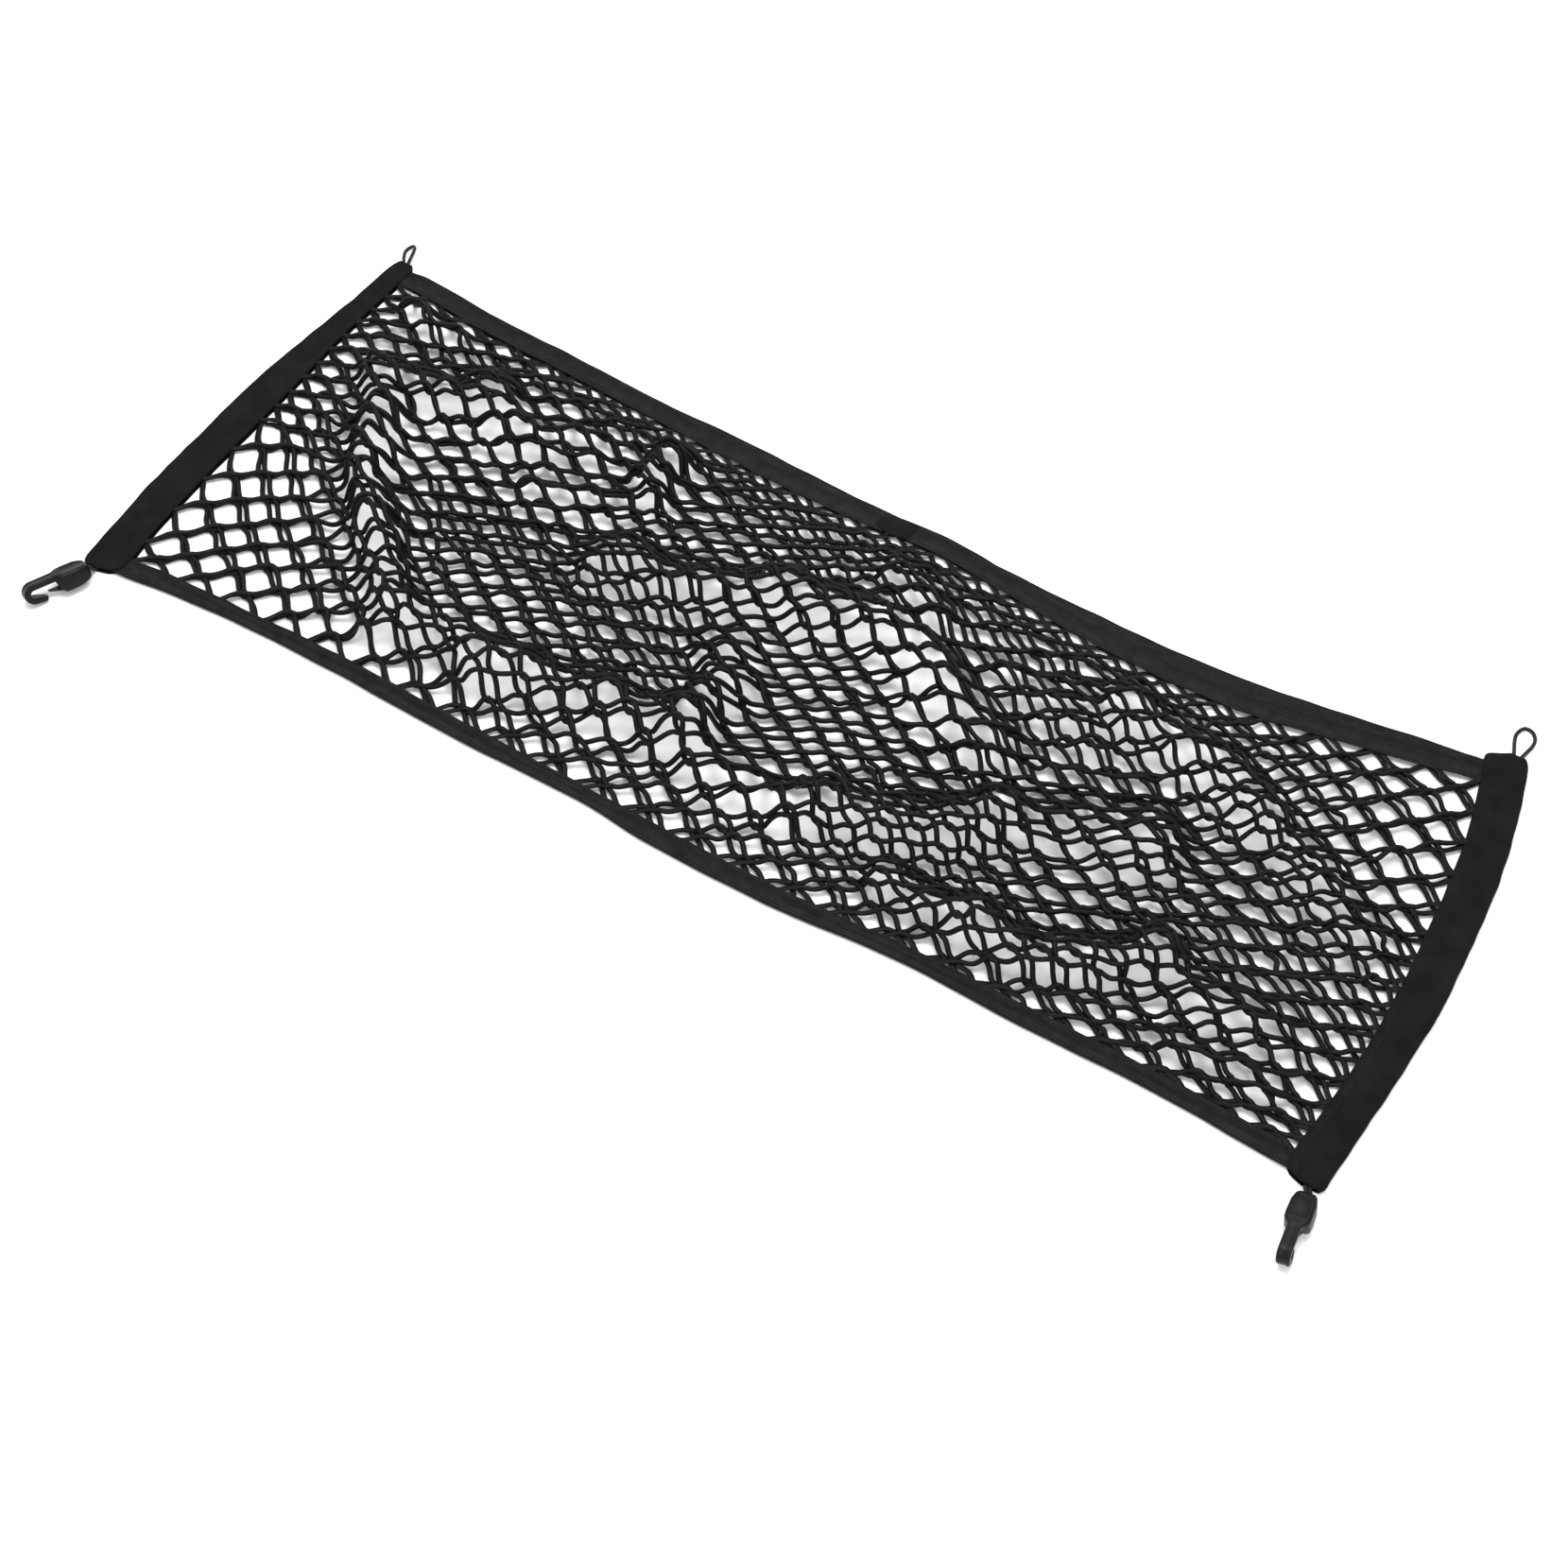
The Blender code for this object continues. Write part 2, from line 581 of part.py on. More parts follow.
def cord(name, route, material):
    """A round cord on a smooth curve through the route's points, with filled ends."""
    spacing = 2.2 * LOOP_CORD
    dense = []
    for index in range(len(route) - 1):
        before = Vector(route[max(index - 1, 0)])
        start, end = Vector(route[index]), Vector(route[index + 1])
        after = Vector(route[min(index + 2, len(route) - 1)])
        count = max(1, round((end - start).length / spacing * 1.6))
        for step in range(count):
            t = step / count
            dense.append(0.5 * (2 * start + (end - before) * t
                                + (2 * before - 5 * start + 4 * end - after) * t ** 2
                                + (3 * start - before - 3 * end + after) * t ** 3))
    dense.append(Vector(route[-1]))
    curve = bpy.data.curves.new(name, "CURVE")
    curve.dimensions = "3D"
    curve.bevel_depth = LOOP_CORD / 2 * MM
    curve.bevel_resolution = 2
    curve.use_fill_caps = True
    spline = curve.splines.new("POLY")
    spline.points.add(len(dense) - 1)
    for point, place in zip(spline.points, dense):
        point.co = (*(place * MM), 1.0)
    return add_object(name, curve, material)


def hook_cord(side, material):
    """The cord from an end band's corner into the hook's socket and back."""
    to_world = hook_matrix(side)
    depth = HOOK_BODY[0][1]
    half = LEG_SPACING / 2
    band_end = LEFT_BAND[0][0]

    def in_hook(along, across):
        return to_world @ (Vector((along, depth, across)) * MM) / MM

    legs = []
    for sign in (1, -1):
        x = CORD_MIDDLE[side] + sign * half
        across = sign * (half - 0.1)
        legs.append([
            Vector((x, band_end + LEG_REACH, MID_HEIGHT)), Vector((x, band_end + 0.8, MID_HEIGHT)),
            Vector((x, band_end - 1.4, MID_HEIGHT + 0.5)), in_hook(-1.0, across), in_hook(1.2, across),
            in_hook(3.0, across), in_hook(SOCKET_DEPTH - 4.2, across),
        ])
    route = legs[0] + [in_hook(SOCKET_DEPTH - 2.3, 0.0)] + legs[1][::-1]
    return cord("hook_cord_" + side, route, material)


def centre_on_floor(pieces, cords):
    """Move everything so that the origin lies under the middle of the pieces, on the floor."""
    bpy.context.view_layer.update()
    graph = bpy.context.evaluated_depsgraph_get()
    corners = []
    for piece in pieces:
        solid = piece.evaluated_get(graph)
        corners += [piece.matrix_world @ vertex.co for vertex in solid.data.vertices]
    middle = [(min(c[axis] for c in corners) + max(c[axis] for c in corners)) / 2 for axis in (0, 1)]
    floor = min(corner.z for corner in corners)
    for piece in pieces + cords:
        piece.location -= Vector((*middle, floor))


def build():
    clear_scene()
    net = finish("net_cord", *NET_FINISH)
    tape = finish("elastic_tape", *TAPE_FINISH)
    webbing = finish("band_webbing", *BAND_FINISH)
    plastic = finish("hook_plastic", *HOOK_FINISH)
    elastic_cord = finish("loop_cord", *CORD_FINISH)
    pieces = [
        end_band("end_band_left", LEFT_BAND, webbing),
        end_band("end_band_right", RIGHT_BAND, webbing),
        near_elastic("near_elastic", tape),
        far_elastic("far_elastic_upper", 1, tape),
        far_elastic("far_elastic_lower", -1, tape),
        closure_tab("closure_tab", webbing),
        net_layer("net_upper", 1, net),
        net_layer("net_lower", -1, net),
        hook("left", plastic),
        hook("right", plastic),
    ]
    cords = [
        cord("corner_loop_left", LOOP_LEFT, elastic_cord),
        cord("corner_loop_right", LOOP_RIGHT, elastic_cord),
        hook_cord("left", elastic_cord),
        hook_cord("right", elastic_cord),
    ]
    centre_on_floor(pieces, cords)


build()
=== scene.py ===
"""Elastic cargo net for a car boot, as it lies loose on a pale floor."""
import math

import bpy
import numpy as np
from mathutils import Matrix, Vector, noise


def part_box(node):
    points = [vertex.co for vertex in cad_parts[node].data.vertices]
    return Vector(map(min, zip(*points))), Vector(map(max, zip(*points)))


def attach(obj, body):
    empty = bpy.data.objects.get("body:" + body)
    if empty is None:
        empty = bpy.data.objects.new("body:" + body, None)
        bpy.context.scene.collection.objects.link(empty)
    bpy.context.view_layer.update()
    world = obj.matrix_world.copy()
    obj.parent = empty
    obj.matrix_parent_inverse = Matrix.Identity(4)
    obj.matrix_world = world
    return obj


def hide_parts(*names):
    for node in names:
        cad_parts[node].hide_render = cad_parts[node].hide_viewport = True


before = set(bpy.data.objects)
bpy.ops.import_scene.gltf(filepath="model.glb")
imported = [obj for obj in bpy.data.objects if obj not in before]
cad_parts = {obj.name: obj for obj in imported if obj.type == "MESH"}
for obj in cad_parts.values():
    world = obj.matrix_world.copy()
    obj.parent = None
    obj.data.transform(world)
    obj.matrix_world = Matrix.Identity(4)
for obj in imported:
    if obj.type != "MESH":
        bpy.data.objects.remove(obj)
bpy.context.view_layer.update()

# ============================================================ camera
# The photograph was taken from the near right, about 1.65 m away, looking down at 53 degrees.
# Sizes are in millimetres of the net's plan: x along it, y from its closed edge to its open edge.
MM = 0.001
PLAN_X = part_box("near_elastic")[0][0] + 499.5 * MM     # where the plan's x and y are 0, in metres
PLAN_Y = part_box("end_band_left")[0][1] + 206.5 * MM
EYE = (462.1, -945.0, 1262.65)
LOOK = (-0.26314, 0.53422, -0.80335)
LOOK_RIGHT = (0.86608, 0.49767, 0.04726)
PHOTO_SIDE = 1659        # pixels
FOCAL_PIXELS = 2341.0
SENSOR = 36.0


def place(x, y, z):
    """A point of the plan in the frame's metres."""
    return Vector((PLAN_X + x * MM, PLAN_Y + y * MM, z * MM))


right, back = Vector(LOOK_RIGHT).normalized(), -Vector(LOOK).normalized()
up = back.cross(right)
camera = bpy.data.objects.new("camera", bpy.data.cameras.new("camera"))
camera.data.sensor_width = SENSOR
camera.data.lens = FOCAL_PIXELS * SENSOR / PHOTO_SIDE
camera.data.clip_end = 20.0
camera.matrix_world = Matrix.Translation(place(*EYE)) @ Matrix((right, up, back)).transposed().to_4x4()
bpy.context.scene.collection.objects.link(camera)
bpy.context.scene.camera = camera

# ============================================================ corner loops
# Two loops of round elastic cord at the open edge's corners, which slip over knobs in the boot.
# Both ends of each are sewn into the end of its band.
LOOP_CORD = 2.8          # diameter
LOOP_ROUTES = {
    "left": (
        (-498.5, 192.0, 2.85), (-498.7, 198.4, 2.85), (-503.2, 205.2, 2.0), (-506.6, 212.0, 1.6),
        (-506.2, 217.6, 2.0), (-503.2, 219.6, 3.4), (-499.6, 216.6, 5.0), (-497.0, 210.6, 5.8),
        (-495.6, 204.4, 4.6), (-494.6, 199.0, 3.0), (-494.2, 192.5, 2.85),
    ),
    "right": (
        (489.8, 188.5, 2.85), (489.3, 198.0, 2.85), (486.0, 210.5, 1.7), (485.0, 219.0, 1.6),
        (488.4, 226.6, 1.6), (494.6, 226.4, 1.6), (498.6, 220.6, 1.6), (498.8, 213.4, 1.7),
        (496.6, 204.0, 2.4), (495.2, 198.0, 2.85), (494.4, 190.0, 2.85),
    ),
}
BRAID_PITCH = 1.1        # one pass of the cover's braid


def linear(code):
    """An sRGB hex colour as the linear colour that a shader takes."""
    levels = [int(code[at:at + 2], 16) / 255 for at in (1, 3, 5)]
    return (*[c / 12.92 if c <= 0.04045 else ((c + 0.055) / 1.055) ** 2.4 for c in levels], 1.0)


def node(tree, kind, inputs=(), **settings):
    """Add a shader node with its settings, and give its inputs their values or links."""
    made = tree.nodes.new("ShaderNode" + kind)
    for key, value in settings.items():
        setattr(made, key, value)
    for socket, value in dict(inputs).items():
        if isinstance(value, bpy.types.NodeSocket):
            tree.links.new(value, made.inputs[socket])
        else:
            made.inputs[socket].default_value = value
    return made


def finish_named(name, roughness, specular, ior=1.5):
    """A new material with its shader's even values; returns it, its tree and its shader."""
    material = bpy.data.materials.new(name)
    material.use_nodes = True
    tree = material.node_tree
    shader = tree.nodes["Principled BSDF"]
    shader.inputs["Roughness"].default_value = roughness
    shader.inputs["Specular IOR Level"].default_value = specular
    shader.inputs["IOR"].default_value = ior
    return material, tree, shader


def waves(tree, coordinate, pitch_mm, phase=0.0):
    """A smooth ripple from 0 to 1 across a coordinate in metres."""
    scaled = node(tree, "Math", {0: coordinate, 1: 2 * math.pi / (pitch_mm * MM), 2: phase},
                  operation="MULTIPLY_ADD")
    rippled = node(tree, "Math", {0: scaled.outputs[0]}, operation="SINE")
    raised = node(tree, "Math", {0: rippled.outputs[0], 1: 0.5, 2: 0.5}, operation="MULTIPLY_ADD")
    return raised.outputs[0]


def bumped(tree, shader, relief, depth_mm, strength):
    """Raise the surface by a relief from 0 to 1."""
    bump = node(tree, "Bump", {"Height": relief, "Distance": depth_mm * MM, "Strength": strength})
    tree.links.new(bump.outputs["Normal"], shader.inputs["Normal"])


def mottled(tree, shader, dark, light, scale, detail=3.0):
    """Let the base colour wander between two close tones."""
    where = node(tree, "TexCoord")
    cloud = node(tree, "TexNoise", {"Vector": where.outputs["Object"], "Scale": scale, "Detail": detail})
    tone = node(tree, "ValToRGB", {"Fac": cloud.outputs["Fac"]})
    tone.color_ramp.elements[0].position = 0.35
    tone.color_ramp.elements[0].color = linear(dark)
    tone.color_ramp.elements[1].position = 0.65
    tone.color_ramp.elements[1].color = linear(light)
    tree.links.new(tone.outputs["Color"], shader.inputs["Base Color"])


def curve_through(route, spacing):
    """Points at about even spacing on a smooth curve through the route's points."""
    points = np.array(route, float)
    ends = np.vstack([2 * points[0] - points[1], points, 2 * points[-1] - points[-2]])
    dense = []
    for before, start, end, after in zip(ends, ends[1:], ends[2:], ends[3:]):
        t = np.linspace(0, 1, 24, endpoint=False)[:, None]
        dense.append(0.5 * (2 * start + (end - before) * t
                            + (2 * before - 5 * start + 4 * end - after) * t ** 2
                            + (3 * start - before - 3 * end + after) * t ** 3))
    dense = np.vstack(dense + [points[-1:]])
    gone = np.concatenate([[0], np.cumsum(np.linalg.norm(np.diff(dense, axis=0), axis=1))])
    even = np.linspace(0, gone[-1], max(2, round(gone[-1] / spacing)) + 1)
    return np.stack([np.interp(even, gone, dense[:, axis]) for axis in range(3)], 1)


def round_rings(path, radius, sides, height=1.0):
    """Rings of points round a path; height flattens them, as one number or one for each point."""
    ahead = np.gradient(path, axis=0)
    ahead /= np.linalg.norm(ahead, axis=1)[:, None]
    level = np.cross(ahead, (0.0, 0.0, 1.0))
    level /= np.maximum(np.linalg.norm(level, axis=1), 1e-6)[:, None]
    upward = np.cross(level, ahead)
    turn = np.linspace(0, 2 * math.pi, sides, endpoint=False)
    radius = np.broadcast_to(radius, len(path))[:, None, None]
    height = np.broadcast_to(height, len(path))[:, None, None]
    around = (np.cos(turn)[None, :, None] * level[:, None]
              + np.sin(turn)[None, :, None] * upward[:, None] * height)
    return path[:, None] + around * radius


def skin(name, bodies, material, sharp=50.0, capped=True):
    """Skin each body's rings of plan points, with a UV map in metres: around, then along."""
    corners, faces, uv = [], [], []
    for rings in bodies:
        count, sides = rings.shape[:2]
        base = sum(len(part) for part in corners)
        corners.append(rings.reshape(-1, 3))
        middle = rings.mean(axis=1)
        along = np.concatenate([[0], np.cumsum(np.linalg.norm(np.diff(middle, axis=0), axis=1))]) * MM
        wrapped = np.concatenate([rings[count // 2], rings[count // 2][:1]])
        around = np.concatenate([[0], np.cumsum(np.linalg.norm(np.diff(wrapped, axis=0), axis=1))]) * MM
        row, side = np.meshgrid(np.arange(count - 1), np.arange(sides), indexing="ij")
        row, side = row.ravel(), side.ravel()
        after = (side + 1) % sides
        faces += np.stack([base + row * sides + side, base + row * sides + after,
                           base + (row + 1) * sides + after, base + (row + 1) * sides + side], 1).tolist()
        uv.append(np.stack([around[side], along[row], around[side + 1], along[row],
                            around[side + 1], along[row + 1], around[side], along[row + 1]], 1).ravel())
        if capped:
            for first, order in ((base, -1), (base + (count - 1) * sides, 1)):
                faces.append(list(range(first, first + sides))[::order])
                uv.append(np.tile([0.0, along[-1] if order > 0 else 0.0], sides))
    corners = np.concatenate(corners) * MM + np.array([PLAN_X, PLAN_Y, 0.0])
    mesh = bpy.data.meshes.new(name)
    mesh.from_pydata(corners.tolist(), [], faces)
    mesh.uv_layers.new(name="UVMap").data.foreach_set("uv", np.concatenate(uv))
    mesh.shade_smooth()
    mesh.set_sharp_from_angle(angle=math.radians(sharp))
    mesh.materials.append(material)
    made = bpy.data.objects.new(name, mesh)
    bpy.context.scene.collection.objects.link(made)
    return made


def braided_cord(name):
    """Braided polyester cover on rubber: black, dull, with a faint broken highlight along it."""
    material, tree, shader = finish_named(name, 0.6, 0.2)
    mottled(tree, shader, "#171718", "#212122", 900.0)
    split = node(tree, "SeparateXYZ", {0: node(tree, "UVMap").outputs[0]})
    slants = [node(tree, "Math", {0: split.outputs[0], 1: lean, 2: split.outputs[1]},
                   operation="MULTIPLY_ADD").outputs[0] for lean in (0.5, -0.5)]
    relief = node(tree, "Math", {at: waves(tree, slant, BRAID_PITCH) for at, slant in enumerate(slants)},
                  operation="MAXIMUM")
    bumped(tree, shader, relief.outputs[0], 0.12, 0.7)
    return material


loop_material = braided_cord("braided_elastic_cord")
for side, route in LOOP_ROUTES.items():
    path = curve_through(route, 0.9)
    loop = skin("loop_" + side, [round_rings(path, LOOP_CORD / 2, 14)], loop_material)
    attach(loop, "root")
    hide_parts("corner_loop_" + side)

# ============================================================ hooks and their cords
# A moulded nylon hook hangs from each near corner on a short doubled cord that ends in its socket.
# Chunky bevelled body, flat strap bent back on itself, and a springy tongue that closes the throat.
# eye end x, y, z; heading from -y towards -x; nose down; roll of the opening towards the floor
HOOK_EYES = {
    "left": ((-490.5, -212.0, 16.9), 24.2, -1.0, 70.2),
    "right": ((489.75, -216.4, 16.3), -3.0, -2.4, 76.0),
}
# columns: along the hook, depth, half width, half thickness
HOOK_BODY = (
    (0.0, 6.9, 5.6, 4.9), (2.5, 7.0, 7.1, 6.1), (8.0, 7.2, 8.4, 7.2),
    (17.0, 7.4, 8.7, 7.4), (21.5, 7.3, 8.4, 7.3), (23.8, 6.4, 7.3, 6.4), (26.5, 2.5, 4.7, 2.5),
)
HOOK_TONGUE = ((20.0, 13.3, 4.1, 1.2), (24.0, 13.0, 3.7, 1.0), (33.0, 11.3, 1.0, 0.5))
HOOK_ARM = (43.3, 2.5, 4.5, 2.5)  # the same columns at the arm's far end
HOOK_TIP = (10.0, 3.0, 1.8)  # length, half width, half thickness at its end
BEND_RADIUS = 5.5
BEND_TURN = math.radians(166.0)
EDGE_ROUNDING = 2.3      # the most that any edge is rounded
RIM = 1.7                # width of the raised rim along the outer faces
BODY_RIM = 0.25          # how far the faces are dished between the rims
ARM_RIM = 0.2
TONGUE_SLOPE = math.radians(14.0)
SOCKET_DEPTH = 9.0
LEG_SPACING = 3.0        # between the two legs of a hook's cord
CORD_MIDDLE = {"left": -490.8, "right": 489.2}  # x between the legs in the band
BAND_END = -206.5        # y of both bands' near ends
MID_HEIGHT = 2.85        # middle of every bound edge above the floor


def hook_matrix(side):
    """Local x runs from the eye to the bend, local y towards the opening, local z across."""
    eye, heading, nose_down, roll = HOOK_EYES[side]
    turned = (Matrix.Rotation(math.radians(-90 - heading), 4, "Z")
              @ Matrix.Rotation(math.radians(nose_down), 4, "Y")
              @ Matrix.Rotation(math.radians(-roll), 4, "X"))
    return np.array(Matrix.Translation(eye) @ turned)


def in_hook(side, points):
    """Points of a hook's own frame as points of the plan."""
    matrix = hook_matrix(side)
    return np.asarray(points, float) @ matrix[:3, :3].T + matrix[:3, 3]


def moulded_ring(along, depth, half_width, half_thickness, turn=0.0, dish=0.0):
    """A rectangle with rounded corners across the hook, its wide faces dished by that depth."""
    corner = min(half_thickness * 0.5, half_width * 0.5, EDGE_ROUNDING)
    outline = []
    for across, lift in ((1, 1), (-1, 1), (-1, -1), (1, -1)):
        arc = np.linspace(0, math.pi / 2, 4)
        if across * lift < 0:
            arc = arc[::-1]
        bend = [(across * (half_width - corner + corner * math.cos(a)),
                 lift * (half_thickness - corner + corner * math.sin(a))) for a in arc]
        outline += bend
        inset = half_width - corner - RIM * 0.4
        dished = lift * (half_thickness - dish)
        if lift * across > 0:
            outline += [(across * inset, lift * half_thickness), (across * (inset - 0.5), dished),
                        (0.0, dished), (-across * (inset - 0.5), dished),
                        (-across * inset, lift * half_thickness)]
    wide, up_hook = np.array(outline).T
    return np.stack([along - math.sin(turn) * up_hook, depth + math.cos(turn) * up_hook, wide], 1)


def hook_sections():
    """Rings from the body's eye end along the arm and round the bend to the tip."""
    table = np.array(HOOK_BODY)
    rings = []
    for along in np.concatenate([[0.0, 0.25, 0.6], np.arange(1.2, 26.4, 0.7), [26.5]]):
        depth, wide, thick = (np.interp(along, table[:, 0], table[:, column]) for column in (1, 2, 3))
        rounding = 1 - 0.25 * max(0.0, 1 - along / 1.2) ** 2
        dish = BODY_RIM * np.interp(along, (3.5, 4.5, 19.0, 20.0), (0, 1, 1, 0))
        rings.append(moulded_ring(along, depth, wide * (0.94 + 0.06 * rounding), thick * rounding,
                                  0.0, dish))
    arm_end, arm_depth, half_width, half_thickness = HOOK_ARM
    for along in np.linspace(28.0, arm_end, 9):
        rings.append(moulded_ring(along, arm_depth, half_width, half_thickness, 0.0, ARM_RIM))
    for turn in np.linspace(0, BEND_TURN, 19)[1:]:
        along = arm_end + BEND_RADIUS * math.sin(turn)
        depth = arm_depth + BEND_RADIUS * (1 - math.cos(turn))
        rings.append(moulded_ring(along, depth, half_width, half_thickness, turn, ARM_RIM))
    length, tip_width, tip_thickness = HOOK_TIP
    for share in (0.15, 0.35, 0.55, 0.75, 0.9, 0.97, 1.0):
        blunt = 1 - 0.35 * max(0.0, (share - 0.85) / 0.15) ** 2
        rings.append(moulded_ring(along + share * length * math.cos(BEND_TURN),
                                  depth + share * length * math.sin(BEND_TURN),
                                  (half_width + (tip_width - half_width) * share) * blunt,
                                  (half_thickness + (tip_thickness - half_thickness) * share) * blunt,
                                  BEND_TURN))
    return np.array(rings)


def tongue_sections():
    table = np.array(HOOK_TONGUE)
    rings = []
    for along in np.linspace(table[0, 0], table[-1, 0], 16):
        depth, wide, thick = (np.interp(along, table[:, 0], table[:, column]) for column in (1, 2, 3))
        rings.append(moulded_ring(along, depth, wide, thick, TONGUE_SLOPE))
    return np.array(rings)


def moulded_nylon(name):
    """Injection-moulded nylon: a fine spark-eroded grain and a soft satin highlight on its edges."""
    material, tree, shader = finish_named(name, 0.4, 0.14, 1.53)
    mottled(tree, shader, "#0a0a0b", "#101011", 300.0)
    where = node(tree, "TexCoord")
    # the grain is about 0.15 mm and is drawn at 0.4 mm so that it shows
    grain = node(tree, "TexNoise", {"Vector": where.outputs["Object"], "Scale": 1 / (0.4 * MM),
                                    "Detail": 2.0})
    bumped(tree, shader, grain.outputs["Fac"], 0.05, 0.5)
    return material


hook_material = moulded_nylon("moulded_nylon")
for side in ("left", "right"):
    bodies = [in_hook(side, rings.reshape(-1, 3)).reshape(rings.shape)
              for rings in (hook_sections(), tongue_sections())]
    hook = skin("hook_body_" + side, bodies, hook_material, sharp=38.0)
    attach(hook, "root")
    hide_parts("hook_" + side)

    legs = []
    for sign in (1, -1):
        x = CORD_MIDDLE[side] + sign * LEG_SPACING / 2
        across = sign * (LEG_SPACING / 2 - 0.1)
        in_socket = in_hook(side, [(along, HOOK_BODY[0][1], across)
                                   for along in (-1.0, 1.2, 3.0, SOCKET_DEPTH - 4.2)])
        legs.append([(x, BAND_END + 4.8, MID_HEIGHT), (x, BAND_END + 0.8, MID_HEIGHT),
                     (x, BAND_END - 1.4, MID_HEIGHT + 0.5), *map(tuple, in_socket)])
    turned_end = [tuple(in_hook(side, [(SOCKET_DEPTH - 2.3, HOOK_BODY[0][1], 0.0)])[0])]
    path = curve_through(legs[0] + turned_end + legs[1][::-1], 0.8)
    lanyard = skin("lanyard_" + side, [round_rings(path, LOOP_CORD / 2, 12)], loop_material)
    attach(lanyard, "root")
    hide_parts("hook_cord_" + side)

# ============================================================ end bands
# Polyester webbing folded in half along its length over the net's short edges, and sewn through
# with two rows of stitches 3 and 5 mm in from its inner edge. It lies in a slow curve.
# columns: y, outer edge x, inner edge x
BANDS = {
    "left": (
        (-206.5, -499.0, -488.5), (-203.0, -502.0, -478.0), (-195.0, -503.5, -471.5),
        (-157.5, -507.0, -475.0), (-113.5, -511.0, -478.0), (-55.0, -512.5, -480.5),
        (12.0, -514.5, -482.5), (63.5, -512.0, -484.5), (92.5, -509.5, -486.0), (144.5, -506.0, -485.5),
        (185.0, -505.0, -485.0), (193.0, -503.8, -485.5), (197.5, -502.0, -488.5),
    ),
    "right": (
        (-206.5, 497.5, 484.0), (-203.0, 499.5, 475.0), (-195.0, 500.0, 471.0), (-143.0, 507.0, 478.5),
        (-91.0, 513.0, 485.0), (-39.0, 518.0, 487.5), (12.5, 519.0, 488.0), (93.5, 517.0, 485.5),
        (145.0, 511.0, 479.0), (180.0, 505.0, 472.0), (187.0, 503.5, 472.5), (192.0, 502.0, 481.0),
        (196.5, 499.5, 487.5),
    ),
}
BAND_PLY = 1.05          # one thickness of the webbing
BAND_FOLD = 1.8          # webbing beyond the slot at the outer fold
BAND_END_RUN = 2.5       # length in which its ends thin
BAND_END_THIN = 0.5
BAND_CROWN = 0.18        # how far each face swells between its edges
CUT_EDGE = 0.35          # how far in from a cut edge the face begins
WARP_PITCH = 0.9         # ribs of about 0.6 mm, drawn coarser so that they show
WEFT_PITCH = 1.1
STITCH_ROWS = (3.2, 5.2)  # in from the inner edge
SEAM_SINK = 0.45         # how deep a row of stitches pulls the webbing in
STITCH_PITCH = 3.2
STITCH_THREAD = 0.42


def edge_line(table, column):
    """A smooth line through a table's rows, to be read at any place along it."""
    spots, values = np.array(table)[:, 0], np.array(table)[:, column]
    slopes = np.empty(len(spots))
    slopes[1:-1] = (values[2:] - values[:-2]) / (spots[2:] - spots[:-2])
    slopes[0] = (values[1] - values[0]) / (spots[1] - spots[0])
    slopes[-1] = (values[-1] - values[-2]) / (spots[-1] - spots[-2])
    fine = np.append(np.arange(spots[0], spots[-1], 0.5), spots[-1])
    row = np.clip(np.searchsorted(spots, fine, side="right") - 1, 0, len(spots) - 2)
    step = spots[row + 1] - spots[row]
    t = (fine - spots[row]) / step
    read = (values[row] + (values[row + 1] - values[row]) * t * t * (3 - 2 * t)
            + t * (1 - t) ** 2 * slopes[row] * step + t * t * (t - 1) * slopes[row + 1] * step)
    return lambda along: np.interp(along, fine, read)


def wander(seed, along, length, size):
    """A slow unevenness of a sewn edge, the same on each run."""
    return np.array([noise.noise((a / length, seed * 7.31, 0.0)) for a in along]) * 2 * size


def folded_ring(width, half_height, half_slot, closed_side, seam_rows):
    """Across a strip folded round an edge, from the lower lip round the fold to the upper lip."""
    roll = half_height * 0.8
    across = np.linspace(width - CUT_EDGE, roll, 16)
    seam = sum((SEAM_SINK * np.exp(-((width - across - row) / 0.6) ** 2) for row in seam_rows), 0 * across)
    crown = BAND_CROWN * np.sin(np.pi * np.clip(across / width, 0, 1))
    face = half_height - BAND_CROWN + crown - seam
    lip = [(width, half_height - 0.5), (width, half_slot + 0.15)]
    top = list(zip(across, face))
    turn = np.linspace(math.pi / 2, -math.pi / 2, 9)[1:-1]
    fold = [(roll - roll * math.cos(a), (half_height - BAND_CROWN) * math.sin(a)) for a in turn]
    under = [(a, -(half_height - 0.02)) for a in np.linspace(roll, width - CUT_EDGE, 8)]
    slot = [(closed_side, -half_slot), (closed_side, half_slot)]
    low_lip = [(width, -(half_height - 0.5)), (width, -half_slot - 0.15)]
    return np.array(lip[::-1] + top + fold + under + low_lip + slot)


def woven_webbing(name, dark, light):
    """Woven polyester: close warp ribs along it crossed by the weft, matt black, and a little fuzzy."""
    material, tree, shader = finish_named(name, 0.85, 0.06)
    shader.inputs["Sheen Weight"].default_value = 0.02
    shader.inputs["Sheen Roughness"].default_value = 0.4
    mottled(tree, shader, dark, light, 60.0, 5.0)
    split = node(tree, "SeparateXYZ", {0: node(tree, "UVMap").outputs[0]})
    warp = waves(tree, split.outputs[0], WARP_PITCH)
    weft = waves(tree, split.outputs[1], WEFT_PITCH)
    relief = node(tree, "Math", {0: warp, 1: weft}, operation="MULTIPLY")
    bumped(tree, shader, relief.outputs[0], 0.18, 0.8)
    return material


